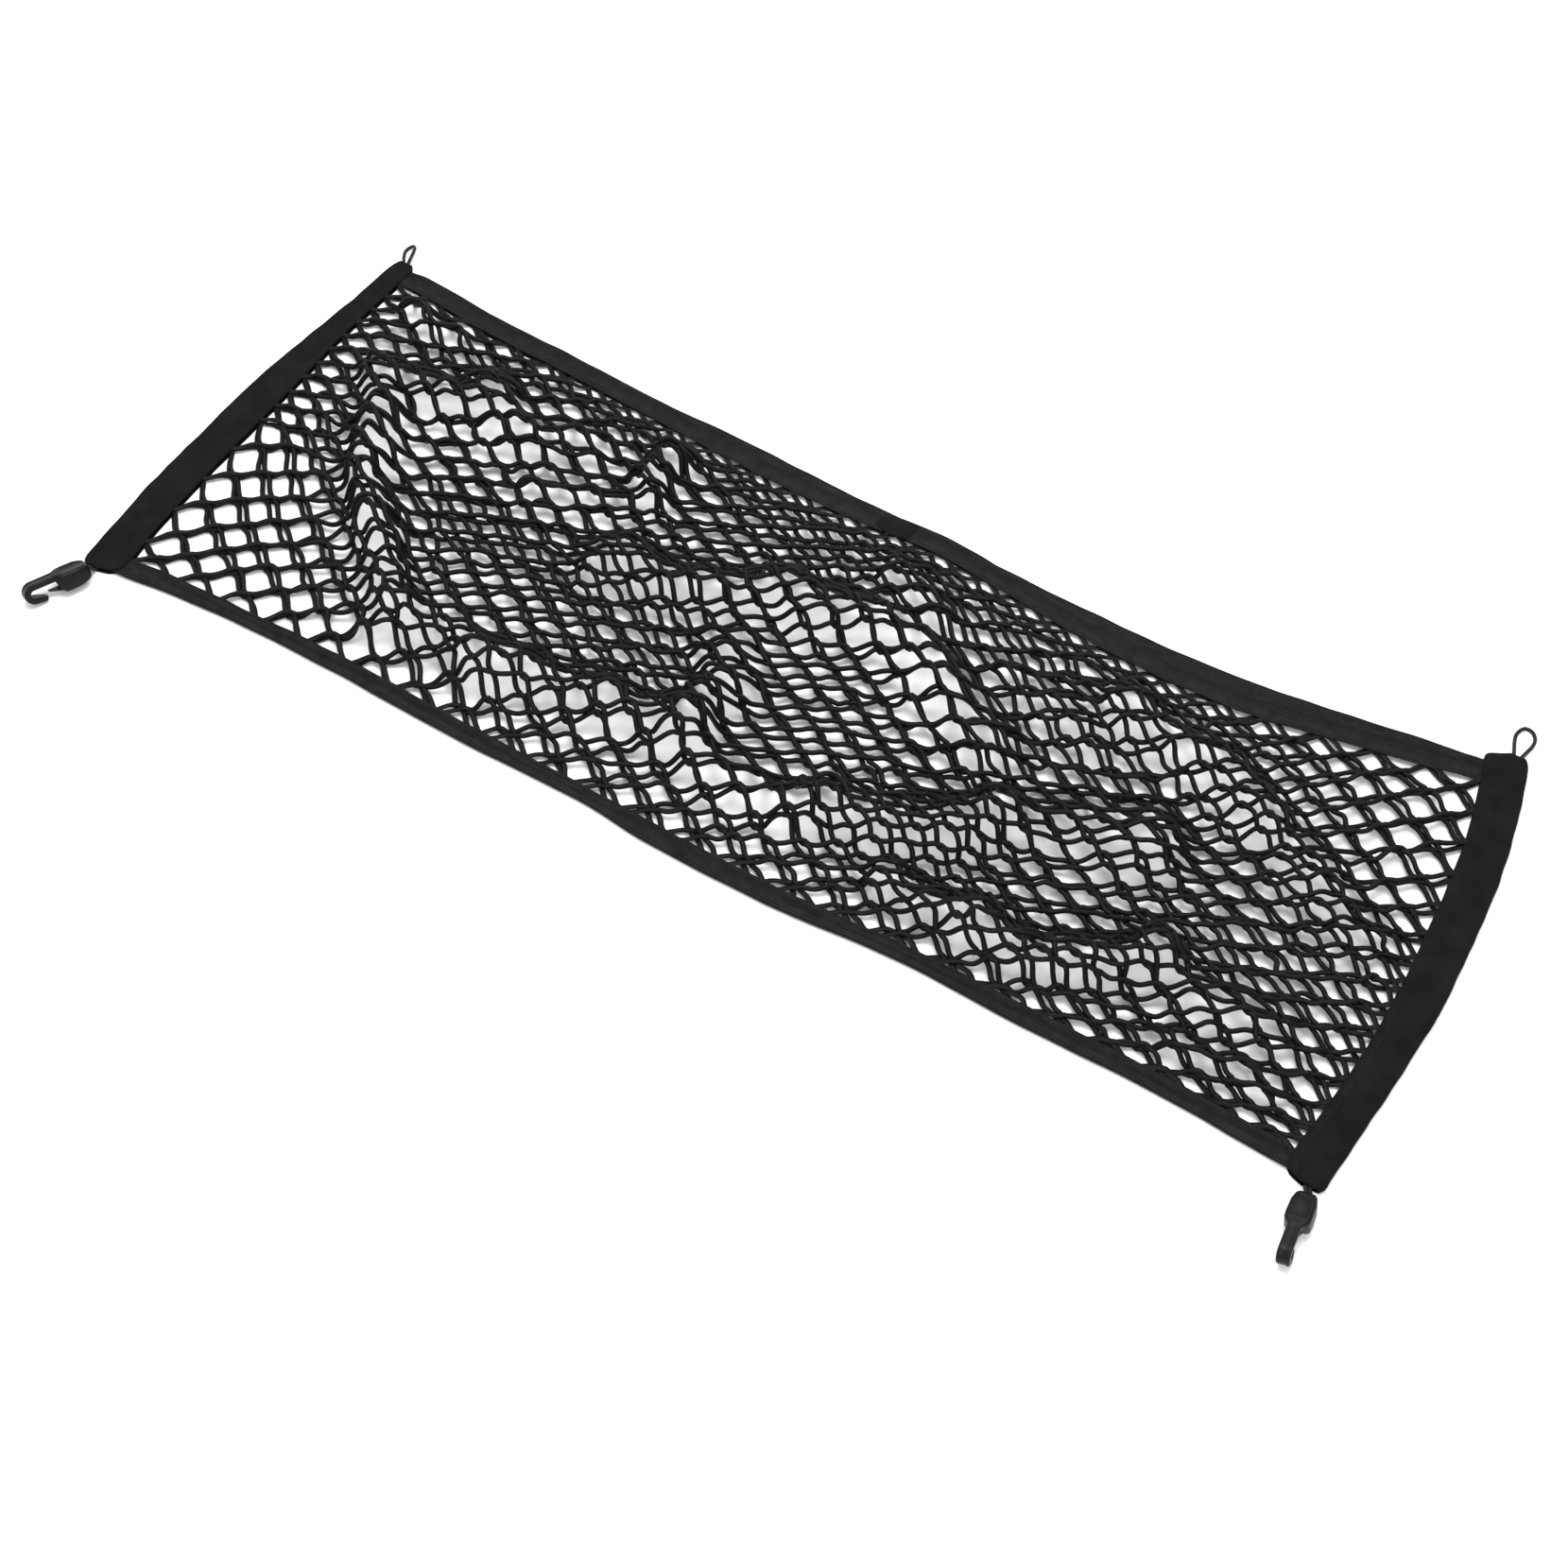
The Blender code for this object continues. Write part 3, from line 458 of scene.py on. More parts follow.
def stitch_row(spots):
    """Short sunk stitches from one point of a seam line to the next, as small bent capsules."""
    bodies = []
    for start, end in zip(spots[:-1], spots[1:]):
        run = end - start
        lift = np.array([0, 0, STITCH_THREAD * 0.5])
        path = np.array([start + run * share + lift * math.sin(math.pi * share) - lift * 0.6
                         for share in (0.10, 0.3, 0.5, 0.7, 0.90)])
        thin = np.array([0.45, 0.95, 1.0, 0.95, 0.45]) * STITCH_THREAD / 2
        bodies.append(round_rings(path, thin, 6))
    return bodies


band_material = woven_webbing("woven_polyester_webbing", "#101011", "#161617")
# twisted polyester thread, whose close turns look like the cords' braid at this size
thread_material = braided_cord("polyester_thread")
for index, (side, table) in enumerate(BANDS.items()):
    outer_edge, inner_edge = edge_line(table, 1), edge_line(table, 2)
    ys = np.unique(np.concatenate([np.linspace(table[0][0], table[2][0], 12),
                                   np.arange(table[2][0], table[-4][0], 3.0),
                                   np.linspace(table[-4][0], table[-1][0], 10)]))
    outer = outer_edge(ys) + wander(index + 1, ys, 16.0, 0.35)
    inner = inner_edge(ys) + wander(index + 3, ys, 22.0, 0.3)
    inward = np.sign(inner - outer)
    end_round = np.clip(np.minimum(ys - ys[0], ys[-1] - ys) / BAND_END_RUN, 0, 1)
    half = MID_HEIGHT - BAND_END_THIN * (1 - end_round) ** 2
    rings = []
    for y, out, width, sign, high in zip(ys, outer, abs(inner - outer), inward, half):
        ring = folded_ring(width, high, MID_HEIGHT - BAND_PLY, BAND_FOLD, STITCH_ROWS)
        rings.append(np.stack([out + sign * ring[:, 0], np.full(len(ring), y),
                               MID_HEIGHT + ring[:, 1]], 1))
    band = skin("band_" + side, [np.array(rings)], band_material, sharp=60.0)
    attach(band, "root")
    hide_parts("end_band_" + side)

    spots = np.arange(table[1][0], table[-2][0], STITCH_PITCH)
    bodies = []
    for row in STITCH_ROWS:
        seam_x = inner_edge(spots) - np.sign(inner_edge(spots) - outer_edge(spots)) * row
        line = np.stack([seam_x, spots, np.full(len(spots), 2 * MID_HEIGHT - STITCH_THREAD)], 1)
        bodies += stitch_row(line)
    seam = skin("seam_" + side, bodies, thread_material, capped=False)
    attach(seam, "root")

# ============================================================ elastics
# Knitted elastic tape with ribs along it. One is folded over the closed edge of both net layers,
# and each layer of the open edge has its own. Their ends run into the bands' folds.
# columns: x, outer edge y, inner edge y
NEAR_ELASTIC = (
    (-499.5, -199.5, -186.5), (-470.0, -201.5, -185.5), (-430.0, -196.5, -182.5),
    (-356.0, -192.5, -180.5), (-282.0, -192.5, -179.0), (-164.5, -196.5, -182.5),
    (-68.5, -196.0, -184.5), (-2.0, -201.5, -186.5), (87.0, -202.0, -187.5), (197.5, -194.5, -182.5),
    (271.5, -196.5, -182.5), (382.0, -196.0, -182.5), (441.0, -199.5, -185.0), (471.0, -201.5, -186.5),
    (492.0, -201.5, -187.5),
)
# columns: x, outer edge y of the lower tape, inner edge y of the upper tape
FAR_ELASTICS = (
    (-501.5, 185.0, 165.5), (-484.5, 193.0, 172.0), (-450.5, 192.0, 170.5), (-399.0, 183.5, 164.0),
    (-311.0, 178.5, 158.5), (-237.5, 175.0, 153.0), (-164.0, 174.5, 147.0), (-105.0, 171.5, 143.0),
    (-31.0, 167.0, 141.5), (35.5, 166.0, 144.5), (87.5, 162.5, 139.0), (161.0, 159.0, 129.0),
    (235.0, 157.5, 124.0), (308.5, 161.5, 127.0), (382.5, 171.5, 140.5), (441.0, 180.0, 152.0),
    (471.0, 182.0, 160.0), (498.0, 183.0, 163.5),
)
TAPE_PLY = 1.2
TAPE_WIDTH = 19.5
TAPE_FOLD = 3.0          # tape beyond the slot at the outer fold
TAPE_ROLL = 1.9          # how far the outer fold's round reaches in
TAPE_RIB = 2.3           # pitch of the ribs
RIB_DEPTH = 0.75
PURL_PITCH = 1.0         # bars of about 0.5 mm, drawn coarser so that they show
TAPE_STEP = 3.0          # between two sections of a tape
SQUEEZED_SLOT = 0.3      # half the slot where a band squeezes the tape
SQUEEZE_RUN = 14.0       # in which the tape opens again
near_outer, near_inner = edge_line(NEAR_ELASTIC, 1), edge_line(NEAR_ELASTIC, 2)
far_outer, far_inner = edge_line(FAR_ELASTICS, 1), edge_line(FAR_ELASTICS, 2)
left_inner, right_inner = edge_line(BANDS["left"], 2), edge_line(BANDS["right"], 2)


def ease(value):
    """A soft step from 0 to 1."""
    value = np.clip(value, 0.0, 1.0)
    return value * value * (3 - 2 * value)


def tape_slot(x, y):
    """Half the slot in an elastic: squeezed flat in the end bands, full height between them."""
    free = np.minimum(ease((x - left_inner(y) - 1.5) / SQUEEZE_RUN),
                      ease((right_inner(y) - 1.5 - x) / SQUEEZE_RUN))
    return SQUEEZED_SLOT + (MID_HEIGHT - TAPE_PLY - SQUEEZED_SLOT) * free


def ribbed(across):
    """Depth below the top of the ribs across a tape."""
    return RIB_DEPTH * (1 - np.abs(np.sin(np.pi * across / TAPE_RIB)) ** 0.7)


def knitted_elastic(name, shaded_groove, lit_crest):
    """Rib-knitted polyester over rubber threads, matt black, with fine purl bars across; its rib crests
    carry a painted highlight and its grooves painted shade, in patches.
    """
    material, tree, shader = finish_named(name, 0.65, 0.1)
    shader.inputs["Sheen Weight"].default_value = 0.03
    shader.inputs["Sheen Roughness"].default_value = 0.4
    where = node(tree, "TexCoord")
    cloud = node(tree, "TexNoise", {"Vector": where.outputs["Object"], "Scale": 120.0, "Detail": 4.0})
    split = node(tree, "SeparateXYZ", {0: node(tree, "UVMap").outputs[0]})
    ribs = waves(tree, split.outputs[0], TAPE_RIB, math.pi / 2)
    # painted light: the rib wave times the noise paints a highlight on the crests and shade in the
    # grooves, broken up in patches
    painted_rib_light = node(tree, "Math", {0: ribs, 1: cloud.outputs["Fac"]}, operation="MULTIPLY")
    tone = node(tree, "ValToRGB", {"Fac": painted_rib_light.outputs[0]})
    tone.color_ramp.elements[0].position = 0.1
    tone.color_ramp.elements[0].color = linear(shaded_groove)
    tone.color_ramp.elements[1].position = 0.6
    tone.color_ramp.elements[1].color = linear(lit_crest)
    tree.links.new(tone.outputs["Color"], shader.inputs["Base Color"])
    bars = waves(tree, split.outputs[1], PURL_PITCH)
    bumped(tree, shader, bars, 0.12, 0.6)
    return material


# the darker colour is painted shade in the rib grooves, the lighter one a painted highlight on the rib
# crests
tape_material = knitted_elastic("rib_knitted_elastic", "#09090a", "#242426")

xs = np.arange(NEAR_ELASTIC[0][0], NEAR_ELASTIC[-1][0] + 0.1, TAPE_STEP)
outer = near_outer(xs) + wander(11, xs, 30.0, 0.3)
inner = near_inner(xs) + wander(12, xs, 24.0, 0.35)
slots = tape_slot(xs, inner)
rings = []
for x, out, width, slot in zip(xs, outer, inner - outer, slots):
    top = slot + TAPE_PLY
    across = np.linspace(width, TAPE_ROLL, 40)
    upper = np.stack([across, top - ribbed(across) - 0.5 * np.exp(-across / 1.2)], 1)
    turn = np.linspace(math.pi / 2, -math.pi / 2, 11)[1:-1]
    fold = np.stack([TAPE_ROLL - TAPE_ROLL * np.cos(turn), (top - 0.35) * np.sin(turn)], 1)
    flat = np.linspace(TAPE_ROLL, width, 10)
    lower = np.stack([flat, np.full(10, -top)], 1)
    mouth = np.array([(width + 0.25, -slot - 0.6), (width, -slot), (TAPE_FOLD, -slot),
                      (TAPE_FOLD, slot), (width, slot), (width + 0.25, slot + 0.6)])
    ring = np.concatenate([upper, fold, lower, mouth])
    rings.append(np.stack([np.full(len(ring), x), out + ring[:, 0], MID_HEIGHT + ring[:, 1]], 1))
near_tape = skin("near_tape", [np.array(rings)], tape_material, sharp=75.0)
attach(near_tape, "root")
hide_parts("near_elastic")

xs = np.arange(FAR_ELASTICS[0][0], FAR_ELASTICS[-1][0] + 0.1, TAPE_STEP)
for layer, sign in (("upper", 1), ("lower", -1)):
    low = far_inner(xs) if sign > 0 else far_outer(xs) - TAPE_WIDTH
    low = low + wander(15 + sign, xs, 26.0, 0.35)
    high = low + TAPE_WIDTH + wander(18 + sign, xs, 26.0, 0.3)
    slots = tape_slot(xs, high)
    rings = []
    for x, near, width, slot in zip(xs, low, high - low, slots):
        across = np.linspace(CUT_EDGE, width - CUT_EDGE, 44)
        outside = np.stack([across, slot + TAPE_PLY - ribbed(across)], 1)
        inner_face = np.stack([across[::-4], np.full(len(across[::-4]), slot)], 1)
        rim = [(width, slot + TAPE_PLY / 2 + 0.2), (width, slot + TAPE_PLY / 2 - 0.2)]
        start = [(0.0, slot + TAPE_PLY / 2 - 0.2), (0.0, slot + TAPE_PLY / 2 + 0.2)]
        ring = np.concatenate([outside, rim, inner_face, start])
        rings.append(np.stack([np.full(len(ring), x), near + ring[:, 0],
                               MID_HEIGHT + sign * ring[:, 1]], 1))
    rings = np.array(rings)
    tape = skin("far_tape_" + layer, [rings if sign < 0 else rings[:, ::-1]], tape_material,
                sharp=75.0)
    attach(tape, "root")
    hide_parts("far_elastic_" + layer)

# ============================================================ net
# Knotless net of knitted cord, 24 meshes along and 15 deep in each layer. Neighbouring
# cords run side by side at each joint and part again. It lies slack, pushed up into soft ridges.
MESHES_ALONG = 24
HALF_ROWS = 30
NET_CORD = 4.1           # diameter
MESH_SIDE = 26.3         # from joint to joint along a cord
TIP_DEPTH = 2.5          # how deep the outermost joints lie in the bound edges
EDGE_CLEAR = 2.6         # beyond a bound edge, where the net is free of it
JOINT_LIFT = 0.9         # one cord of a joint lies over the other
JOINT_HALF = 1.7         # half the length in which they change sides
JOINT_SPREAD = 1.15      # how far each lies beside the joint's middle before and after
JOINT_SWING = 0.78       # how far the cords turn side by side at a joint
JOINT_REACH = 0.25       # share of a strand in which it keeps that turn
SLACK_REACH = 5.5        # the most that slack adds to it
STRAND_STEPS = 10
BAR_PITCH = 1.2          # purl bars of about 0.6 mm, drawn coarser so that they show
LAYER_OFFSETS = {"upper": 1.6, "lower": -1.35}  # of each layer from the pocket's middle
# columns: share of the way from the closed edge to the open one, in rows and in the plan
LEFT_ROWS = ((0.0, 0.0), (0.067, 0.06), (0.333, 0.476), (0.44, 0.56), (1.0, 1.0))
CORNER_ROWS = ((0.0, 0.0), (0.067, 0.09), (0.333, 0.41), (1.0, 1.0))
RIGHT_ROWS = ((0.0, 0.0), (0.14, 0.07), (0.70, 0.60), (1.0, 1.0))
LEAN = (0.02, 0.07)      # how far the flat corner is askew along x and y
LEAN_START = -390.0      # x at which it doesn't lean along y
FLAT_CORNER = (-480.0, -180.0)
FLAT_REACH = 138.0       # how far from there the net lies flat
FLAT_FADE = 9.0
HOME_PULL = 0.045        # share of its way back that a point of the net goes in each pass
FLAT_PULL = 0.3          # more of it in the flat corner
SLACK_PUSH = 0.25        # how hard a cord pushes when it is short, beside how hard it pulls
BEND_PUSH = 0.25         # how hard it straightens
BOUND_RUN = 8.0          # in which the cords flatten towards a bound edge
BOUND_OFFSET = 0.75      # of each layer inside the bound edges
# the ridges; columns: start x, start y, end x, end y, half width, height
RIDGES = (
    (-425, 70, -383, -3, 28, 20), (-383, -3, -331, -71, 28, 25), (-331, -71, -270, -126, 29, 25),
    (-272, -128, -268, -160, 24, 14), (-272, -128, -190, -132, 32, 20), (-190, -132, -90, -120, 34, 22),
    (-90, -120, -50, -105, 30, 20), (-38, -118, -22, -60, 28, 34), (-22, -60, -50, -20, 30, 18),
    (-10, -130, 70, -128, 30, 18), (70, -128, 130, -105, 32, 22), (130, -105, 200, -58, 34, 22),
    (200, -58, 300, -22, 36, 18), (160, -146, 225, -156, 28, 22), (225, -156, 290, -140, 30, 24),
    (290, -140, 340, -112, 30, 20), (340, -112, 420, -118, 30, 12), (-165, -2, -90, 14, 34, 18),
    (-90, 14, -20, 38, 34, 22), (-20, 38, 30, 55, 34, 22), (30, 55, 110, 20, 36, 20),
    (110, 20, 160, -15, 34, 12), (-400, 75, -360, 70, 28, 28), (-450, 150, -415, 150, 24, 16),
    (-180, 120, -172, 75, 24, 20), (225, 78, 275, 68, 30, 18), (275, 68, 350, 42, 34, 20),
    (370, -160, 440, -168, 24, 12), (-360, 100, -300, 75, 28, 18), (-300, 75, -240, 90, 28, 12),
    (30, 110, 70, 80, 28, 12), (150, 60, 220, 40, 30, 12), (380, 20, 440, -10, 34, 10),
    (-250, 40, -180, 60, 30, 8),
)


def ridge_height(x, y):
    """How far the ridges push the net up, with uneven tops and wavering lines."""
    total = np.zeros_like(x)
    uneven = 1 + 0.22 * np.sin(x / 21 + y / 33 + 1.0) + 0.16 * np.sin(x / 13 - y / 17 + 2.0)
    x, y = (x + 4.5 * np.sin(y / 16 + x / 41) + 3.0 * np.sin(y / 9 - x / 27 + 4.0),
            y + 4.5 * np.sin(x / 18 - y / 37 + 2.0) + 3.0 * np.sin(x / 10 + y / 23 + 1.0))
    for x1, y1, x2, y2, half_width, high in RIDGES:
        dx, dy = x2 - x1, y2 - y1
        share = np.clip(((x - x1) * dx + (y - y1) * dy) / (dx * dx + dy * dy), 0, 1)
        distance = np.hypot(x - x1 - share * dx, y - y1 - share * dy) / half_width
        total += (np.where(distance < 1, (1 - distance ** 2) ** 2, 0) * high) ** 3
    return np.cbrt(total) * uneven


def edge_gaps(x, y):
    """How far in a point lies from each of the four bound edges."""
    return (y - near_inner(x), far_inner(x) - y, x - left_inner(y), right_inner(y) - x)


def inside(x, y, run):
    """0 at the bound edges, rising to 1 over a run inwards."""
    share = 1.0
    for gap in edge_gaps(x, y):
        share = share * np.clip((gap - EDGE_CLEAR) / run, 0, 1)
    return ease(share)


def flat_corner(x, y):
    """1 in the near left corner, where the net lies flat, 0 elsewhere."""
    away = ((x - FLAT_CORNER[0]) + (y - FLAT_CORNER[1]) * 0.75) / 1.25
    return 1 / (1 + np.exp((away - FLAT_REACH) / FLAT_FADE))


def net_height(x, y):
    """Height of the pocket's middle, from the edges' own height up to the ridges' tops."""
    return MID_HEIGHT + inside(x, y, 26.0) * (5.0 * (1 - flat_corner(x, y)) + ridge_height(x, y))


def net_plan(sign):
    """Joints of one layer as (column, row), with their places in the plan."""
    columns = 2 * MESHES_ALONG
    joints = np.array([(i, j) for i in range(columns + 1) for j in range(HALF_ROWS + 1)
                       if (i + j) % 2 == 0])
    across, deep = joints[:, 0] / columns, joints[:, 1] / HALF_ROWS
    # how far each joint follows the left band's rows, the left corner's and the right band's
    bound = np.clip(1 - joints[:, 0] / 4, 0, 1)
    pull_left = (1 - bound) * np.clip(1 - 1.9 * (across - 0.09), 0, 1) ** 1.3
    pull_right = np.clip(1 - 2.2 * (1 - across), 0, 1) ** 1.3
    depth = deep * (1 - bound - pull_left - pull_right)
    for table, pull in ((LEFT_ROWS, bound), (CORNER_ROWS, pull_left), (RIGHT_ROWS, pull_right)):
        depth += np.interp(deep, *zip(*table)) * pull
    between = np.clip(4 * across, 0, 1) * np.clip(4 * (1 - across), 0, 1)
    # the layers slip past each other along the open edge, and less along the closed one
    slide = sign * (8.0 * deep ** 1.2 * between
                    + 5.0 * np.clip(8 * (across - 0.22), 0, 1) * (1 - deep) * between)
    slip = sign * 4.5 * np.clip(4 * (across - 0.75), 0, 1) * np.sin(np.pi * deep)
    # a first guess along the net, which the bands' own edges then set right
    x = -480 + across * 969
    for _ in range(3):
        near = near_inner(x) - TIP_DEPTH
        y = near + (far_inner(x) + TIP_DEPTH - near) * depth + slip
        left = left_inner(y) - TIP_DEPTH
        x = left + (right_inner(y) + TIP_DEPTH - left) * across + slide
    # the flat corner lies a little askew, as it was pulled
    askew = flat_corner(x, y)
    x, y = (x - askew * LEAN[0] * (y - near) * np.clip(joints[:, 0] / 4, 0, 1),
            y + askew * LEAN[1] * (x - LEAN_START) * (1 - bound) * np.clip(joints[:, 1] / 3, 0, 1))
    return joints, np.stack([x, y, 0 * x], 1)


def relaxed_net(sign, passes=260):
    """Let one layer's strands settle on the ridged ground, and return its joints and strands."""
    joints, places = net_plan(sign)
    index = {tuple(joint): at for at, joint in enumerate(joints.tolist())}
    strands = [(at, index[i + 1, j + step], step) for (i, j), at in index.items()
               for step in (1, -1) if (i + 1, j + step) in index]
    ends = np.array(strands)[:, :2]
    count, total = len(ends), len(places)
    # each strand bends at two points of its own between its joints
    spots = np.concatenate([places] + [places[ends[:, 0]] * (1 - k / 3) + places[ends[:, 1]] * (k / 3)
                                       for k in (1, 2)])
    ids = np.stack([ends[:, 0], total + np.arange(count), total + count + np.arange(count),
                    ends[:, 1]], 1)
    first, second = ids[:, :-1].ravel(), ids[:, 1:].ravel()
    random = np.random.default_rng(12 if sign > 0 else 11)
    rest = np.repeat(MESH_SIDE * (1 + random.normal(0, 0.07, count)) / 3, 3)
    strand_at = {(start, step): at for at, (start, end, step) in enumerate(strands)}
    through = [(ids[at, -2], end, ids[strand_at[end, step], 1])
               for at, (start, end, step) in enumerate(strands) if (end, step) in strand_at]
    bends = np.concatenate([ids[:, 0:3], ids[:, 1:4], np.array(through)])
    held = np.zeros(len(spots), bool)
    held[:total] = ((joints[:, 0] == 0) | (joints[:, 0] == 2 * MESHES_ALONG)
                    | (joints[:, 1] == 0) | (joints[:, 1] == HALF_ROWS))
    flat = flat_corner(spots[:, 0], spots[:, 1])
    uneven = random.normal(0, 1.0, (len(spots), 2)) * (1 - 0.6 * flat[:, None])
    spots[:, :2] += np.where(held[:, None], 0, uneven)
    # the two layers drift apart except where both lie flat
    x, y = spots[:, 0].copy(), spots[:, 1].copy()
    phase = np.random.default_rng(5).uniform(0, 6.28, 8)
    rise = np.clip((y - near_inner(x)) / 45, 0, 1)
    drift_x = 5.0 + 4.0 * (np.sin(x / 85 + phase[0]) + 0.7 * np.sin(y / 45 + phase[1] + x / 120))
    drift_y = (-3.2 + 2.6 * (np.sin(x / 70 + phase[2] - y / 80) + 0.6 * np.cos(y / 40 + phase[3]))
               + 1.2 * np.sin(x / 26 + y / 37 + phase[4]))
    loose = inside(x, y, 40.0) * ~held
    spots[:, 0] += sign * loose * (drift_x * (1 - flat) * rise + 2.1 * flat)
    spots[:, 1] += sign * loose * (drift_y * (1 - flat) * rise + 1.7 * flat)
    home = spots[:, :2].copy()
    pulls = np.bincount(np.concatenate([first, second]), minlength=len(spots)).astype(float)
    turns = np.maximum(np.bincount(bends.ravel(), minlength=len(spots)), 1)
    for _ in range(passes):
        spots[:, 2] = net_height(spots[:, 0], spots[:, 1])
        run = spots[second] - spots[first]
        length = np.maximum(np.linalg.norm(run, axis=1), 1e-6)
        strain = (length - rest) / length
        force = 0.5 * np.where(strain > 0, strain, SLACK_PUSH * strain)[:, None] * run
        middle = (spots[bends[:, 0]] + spots[bends[:, 2]]) / 2 - spots[bends[:, 1]]
        move = (HOME_PULL + FLAT_PULL * flat[:, None]) * (home - spots[:, :2])
        for axis in (0, 1):
            move[:, axis] += (np.bincount(first, force[:, axis], len(spots))
                              - np.bincount(second, force[:, axis], len(spots))) / (0.6 * pulls)
            straighten = (np.bincount(bends[:, 1], middle[:, axis], len(spots))
                          - 0.5 * np.bincount(bends[:, 0], middle[:, axis], len(spots))
                          - 0.5 * np.bincount(bends[:, 2], middle[:, axis], len(spots)))
            move[:, axis] += BEND_PUSH * straighten / turns
        spots[:, :2] += np.where(held[:, None], 0, move)
    spots[:, :2] += 0.8 * flat[:, None] * (home - spots[:, :2])
    spots[:, 2] = net_height(spots[:, 0], spots[:, 1])
    return joints, index, strands, ids, spots


def joint_frames(joints, strands, spots):
    """At each joint: the direction in which its cords run side by side, and the net's own upward."""
    along, sideways = np.zeros((len(joints), 3)), np.zeros((len(joints), 3))
    for start, end, step in strands:
        run = spots[end] - spots[start]
        run = run / np.linalg.norm(run)
        along[start] += run
        along[end] += run
        sideways[start] += step * run
        sideways[end] -= step * run
    along /= np.linalg.norm(along, axis=1)[:, None]
    upward = np.cross(along, sideways)
    upward /= np.maximum(np.linalg.norm(upward, axis=1), 1e-6)[:, None]
    return along, np.where(upward[:, 2:] < 0, -upward, upward)


def net_cords(sign):
    """Each cord of a layer runs slantwise through joint after joint, swinging along at each."""
    joints, index, strands, ids, spots = relaxed_net(sign)
    along, upward = joint_frames(joints, strands, spots)
    random = np.random.default_rng(31 if sign > 0 else 32)
    strand_at = {(start, step): at for at, (start, end, step) in enumerate(strands)}
    t = np.linspace(0, 1, STRAND_STEPS + 1)[:, None]
    swell = np.sin(np.pi * t) ** 2
    beside = np.cross(upward, along)
    calm = flat_corner(spots[:, 0], spots[:, 1])
    cords = []
    for (i, j), first in index.items():
        for step in (1, -1):
            if (i - 1, j - step) in index or (first, step) not in strand_at:
                continue
            chain, at = [], first
            while (at, step) in strand_at:
                chain.append(strand_at[at, step])
                at = strands[chain[-1]][1]
            stops = [strands[chain[0]][0]] + [strands[link][1] for link in chain]
            places = spots[stops] + step * JOINT_LIFT * upward[stops]
            shift = JOINT_HALF * along[stops] + step * JOINT_SPREAD * beside[stops]
            shift[[0, -1]] = 0
            own = np.gradient(places, axis=0)
            own /= np.linalg.norm(own, axis=1)[:, None]
            heading = JOINT_SWING * along[stops] + (1 - JOINT_SWING) * own
            heading /= np.linalg.norm(heading, axis=1)[:, None]
            path = []
            for at, link in enumerate(chain):
                start, end = places[at] + shift[at], places[at + 1] - shift[at + 1]
                apart = np.linalg.norm(end - start)
                slack = max(0.0, MESH_SIDE - 2 * JOINT_HALF - apart)
                size = JOINT_REACH * apart + min(0.6 * slack, SLACK_REACH)
                sag = (spots[ids[link, 1]] + spots[ids[link, 2]]
                       - spots[ids[link, 0]] - spots[ids[link, 3]]) / 2
                side = np.cross((end - start) / apart, upward[strands[link][0]])
                unrest = 1.2 - 0.6 * calm[strands[link][0]]
                sag = 1.2 * sag + side * random.normal(0, unrest) + np.array([0, 0, random.normal(0, 0.8)])
                path.append((1 - t) ** 3 * start + 3 * (1 - t) ** 2 * t * (start + heading[at] * size)
                            + 3 * (1 - t) * t ** 2 * (end - heading[at + 1] * size) + t ** 3 * end
                            + swell * sag)
            cords.append(np.concatenate(path))
    return cords


def knitted_cord(name):
    """Knitted polyester cord: black, close purl bars round it and a thin satin streak on top."""
    material, tree, shader = finish_named(name, 0.5, 0.12)
    mottled(tree, shader, "#0a0a0b", "#101011", 400.0)
    split = node(tree, "SeparateXYZ", {0: node(tree, "UVMap").outputs[0]})
    bars = waves(tree, split.outputs[1], BAR_PITCH)
    bumped(tree, shader, bars, 0.16, 0.8)
    return material


net_material = knitted_cord("knitted_polyester_cord")
for layer, offset in LAYER_OFFSETS.items():
    bodies = []
    for path in net_cords(1 if layer == "upper" else -1):
        gaps = np.minimum.reduce(edge_gaps(path[:, 0], path[:, 1])) - EDGE_CLEAR
        free = np.clip(gaps / BOUND_RUN, 0, 1)
        path[:, 2] += np.sign(offset) * BOUND_OFFSET * (1 - free) + offset * free
        path[:, 2] = np.maximum(path[:, 2], NET_CORD / 2)
        bodies.append(round_rings(path, NET_CORD / 2, 6, 0.42 + 0.58 * free))
    net = skin("mesh_" + layer, bodies, net_material, sharp=80.0)
    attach(net, "root")
    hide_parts("net_" + layer)

# ============================================================ closure tab
# A patch of the bands' webbing sewn on the upper elastic at the middle of the open edge, where it
# holds a fastening. Its narrow end points left, and it is a little crowned.
TAB_BASE = 2 * MID_HEIGHT + 0.3
TAB_PLY = 0.75
TAB_CROWN = 0.85
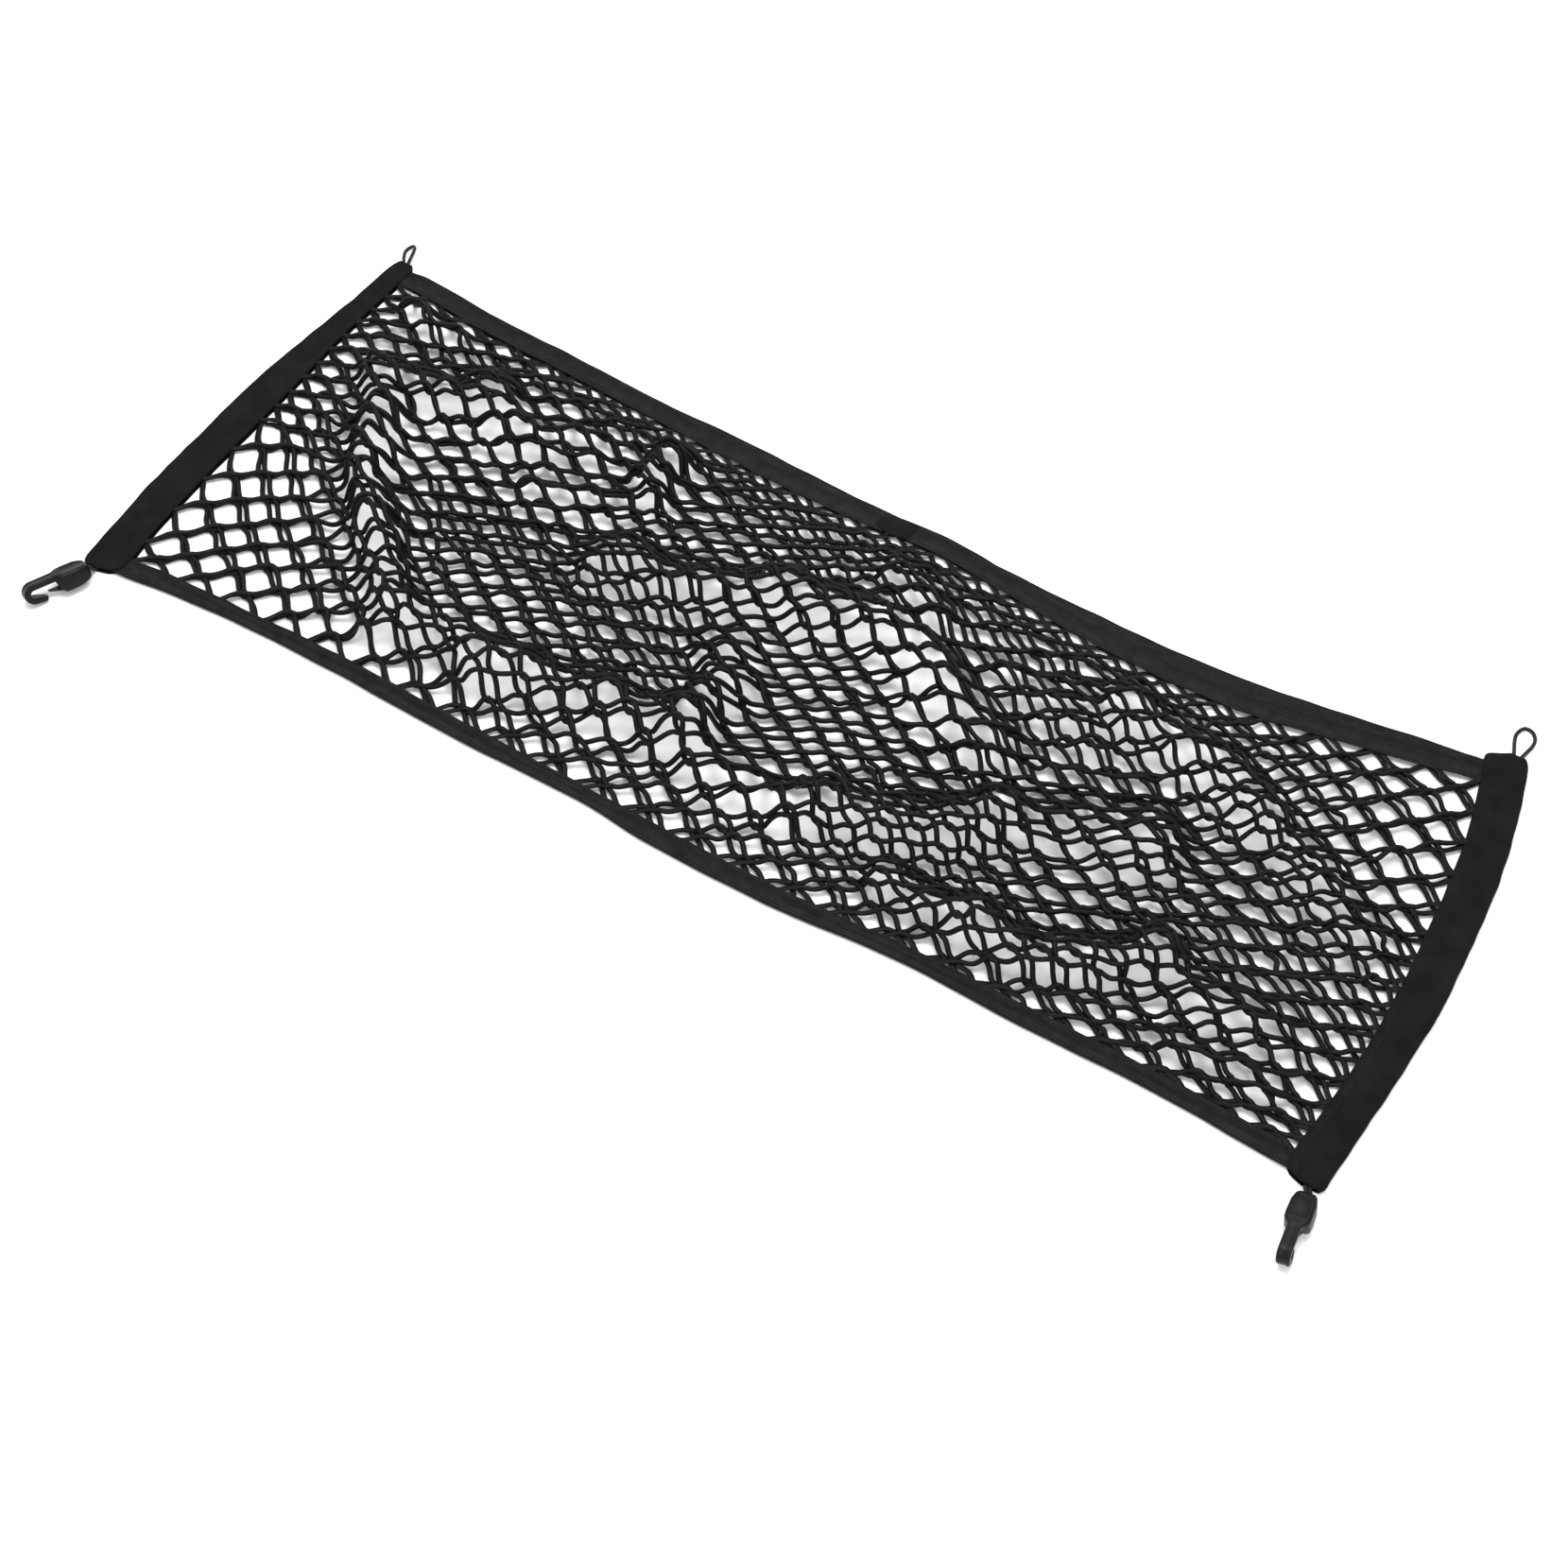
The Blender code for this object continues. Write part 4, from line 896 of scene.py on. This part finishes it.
# columns: x, near edge y, far edge y, share of the crown
TAB_ROWS = ((-14, 147, 151, 0.0), (-8, 143.5, 158, 0.6), (1, 142, 161.5, 1.0),
            (10, 143, 162, 0.9), (15, 144, 162, 0.2))
table = np.array(TAB_ROWS, float)
rings = []
for x in np.linspace(table[0, 0], table[-1, 0], 25):
    near, far, crown = (np.interp(x, table[:, 0], table[:, column]) for column in (1, 2, 3))
    spread = np.linspace(0, 1, 15)
    top = TAB_BASE + TAB_PLY + TAB_CROWN * crown * np.sin(np.pi * spread) ** 0.8
    upper = np.stack([np.full(15, x), near + (far - near) * spread, top], 1)
    lower = np.stack([np.full(4, x), far + (near - far) * np.linspace(0, 1, 4),
                      np.full(4, TAB_BASE)], 1)
    rings.append(np.concatenate([upper, lower])[::-1])
tab = skin("tab_patch", [np.array(rings)], band_material, sharp=60.0)
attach(tab, "root")
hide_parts("closure_tab")

# ============================================================ floor and light
# Seamless pale paper under a large soft light overhead, with fill from all round.
FLOOR_HALF = 6.0         # metres
floor = bpy.data.objects.new("floor", bpy.data.meshes.new("floor"))
floor.data.from_pydata([(x * FLOOR_HALF, y * FLOOR_HALF, 0)
                        for x, y in ((-1, -1), (1, -1), (1, 1), (-1, 1))], [], [(0, 1, 2, 3)])
paper, tree, shader = finish_named("matt_paper", 0.9, 0.1)
shader.inputs["Base Color"].default_value = linear("#f4f4f4")
floor.data.materials.append(paper)
bpy.context.scene.collection.objects.link(floor)

world = bpy.data.worlds.new("studio")
bpy.context.scene.world = world
world.use_nodes = True
world.node_tree.nodes["Background"].inputs["Color"].default_value = linear("#ffffff")
world.node_tree.nodes["Background"].inputs["Strength"].default_value = 0.9
LAMP_SIDE = 1.2          # metres
for name, spot, watts in (("overhead", (-150, 100, 1900), 38.0), ("front", (900, -1500, 1400), 12.0)):
    lamp = bpy.data.objects.new(name, bpy.data.lights.new(name, "AREA"))
    lamp.data.size = LAMP_SIDE
    lamp.data.energy = watts
    lamp.location = place(*spot)
    lamp.rotation_euler = (place(0, 0, 0) - lamp.location).to_track_quat("-Z", "Y").to_euler()
    bpy.context.scene.collection.objects.link(lamp)
bpy.context.scene.view_settings.view_transform = "Standard"
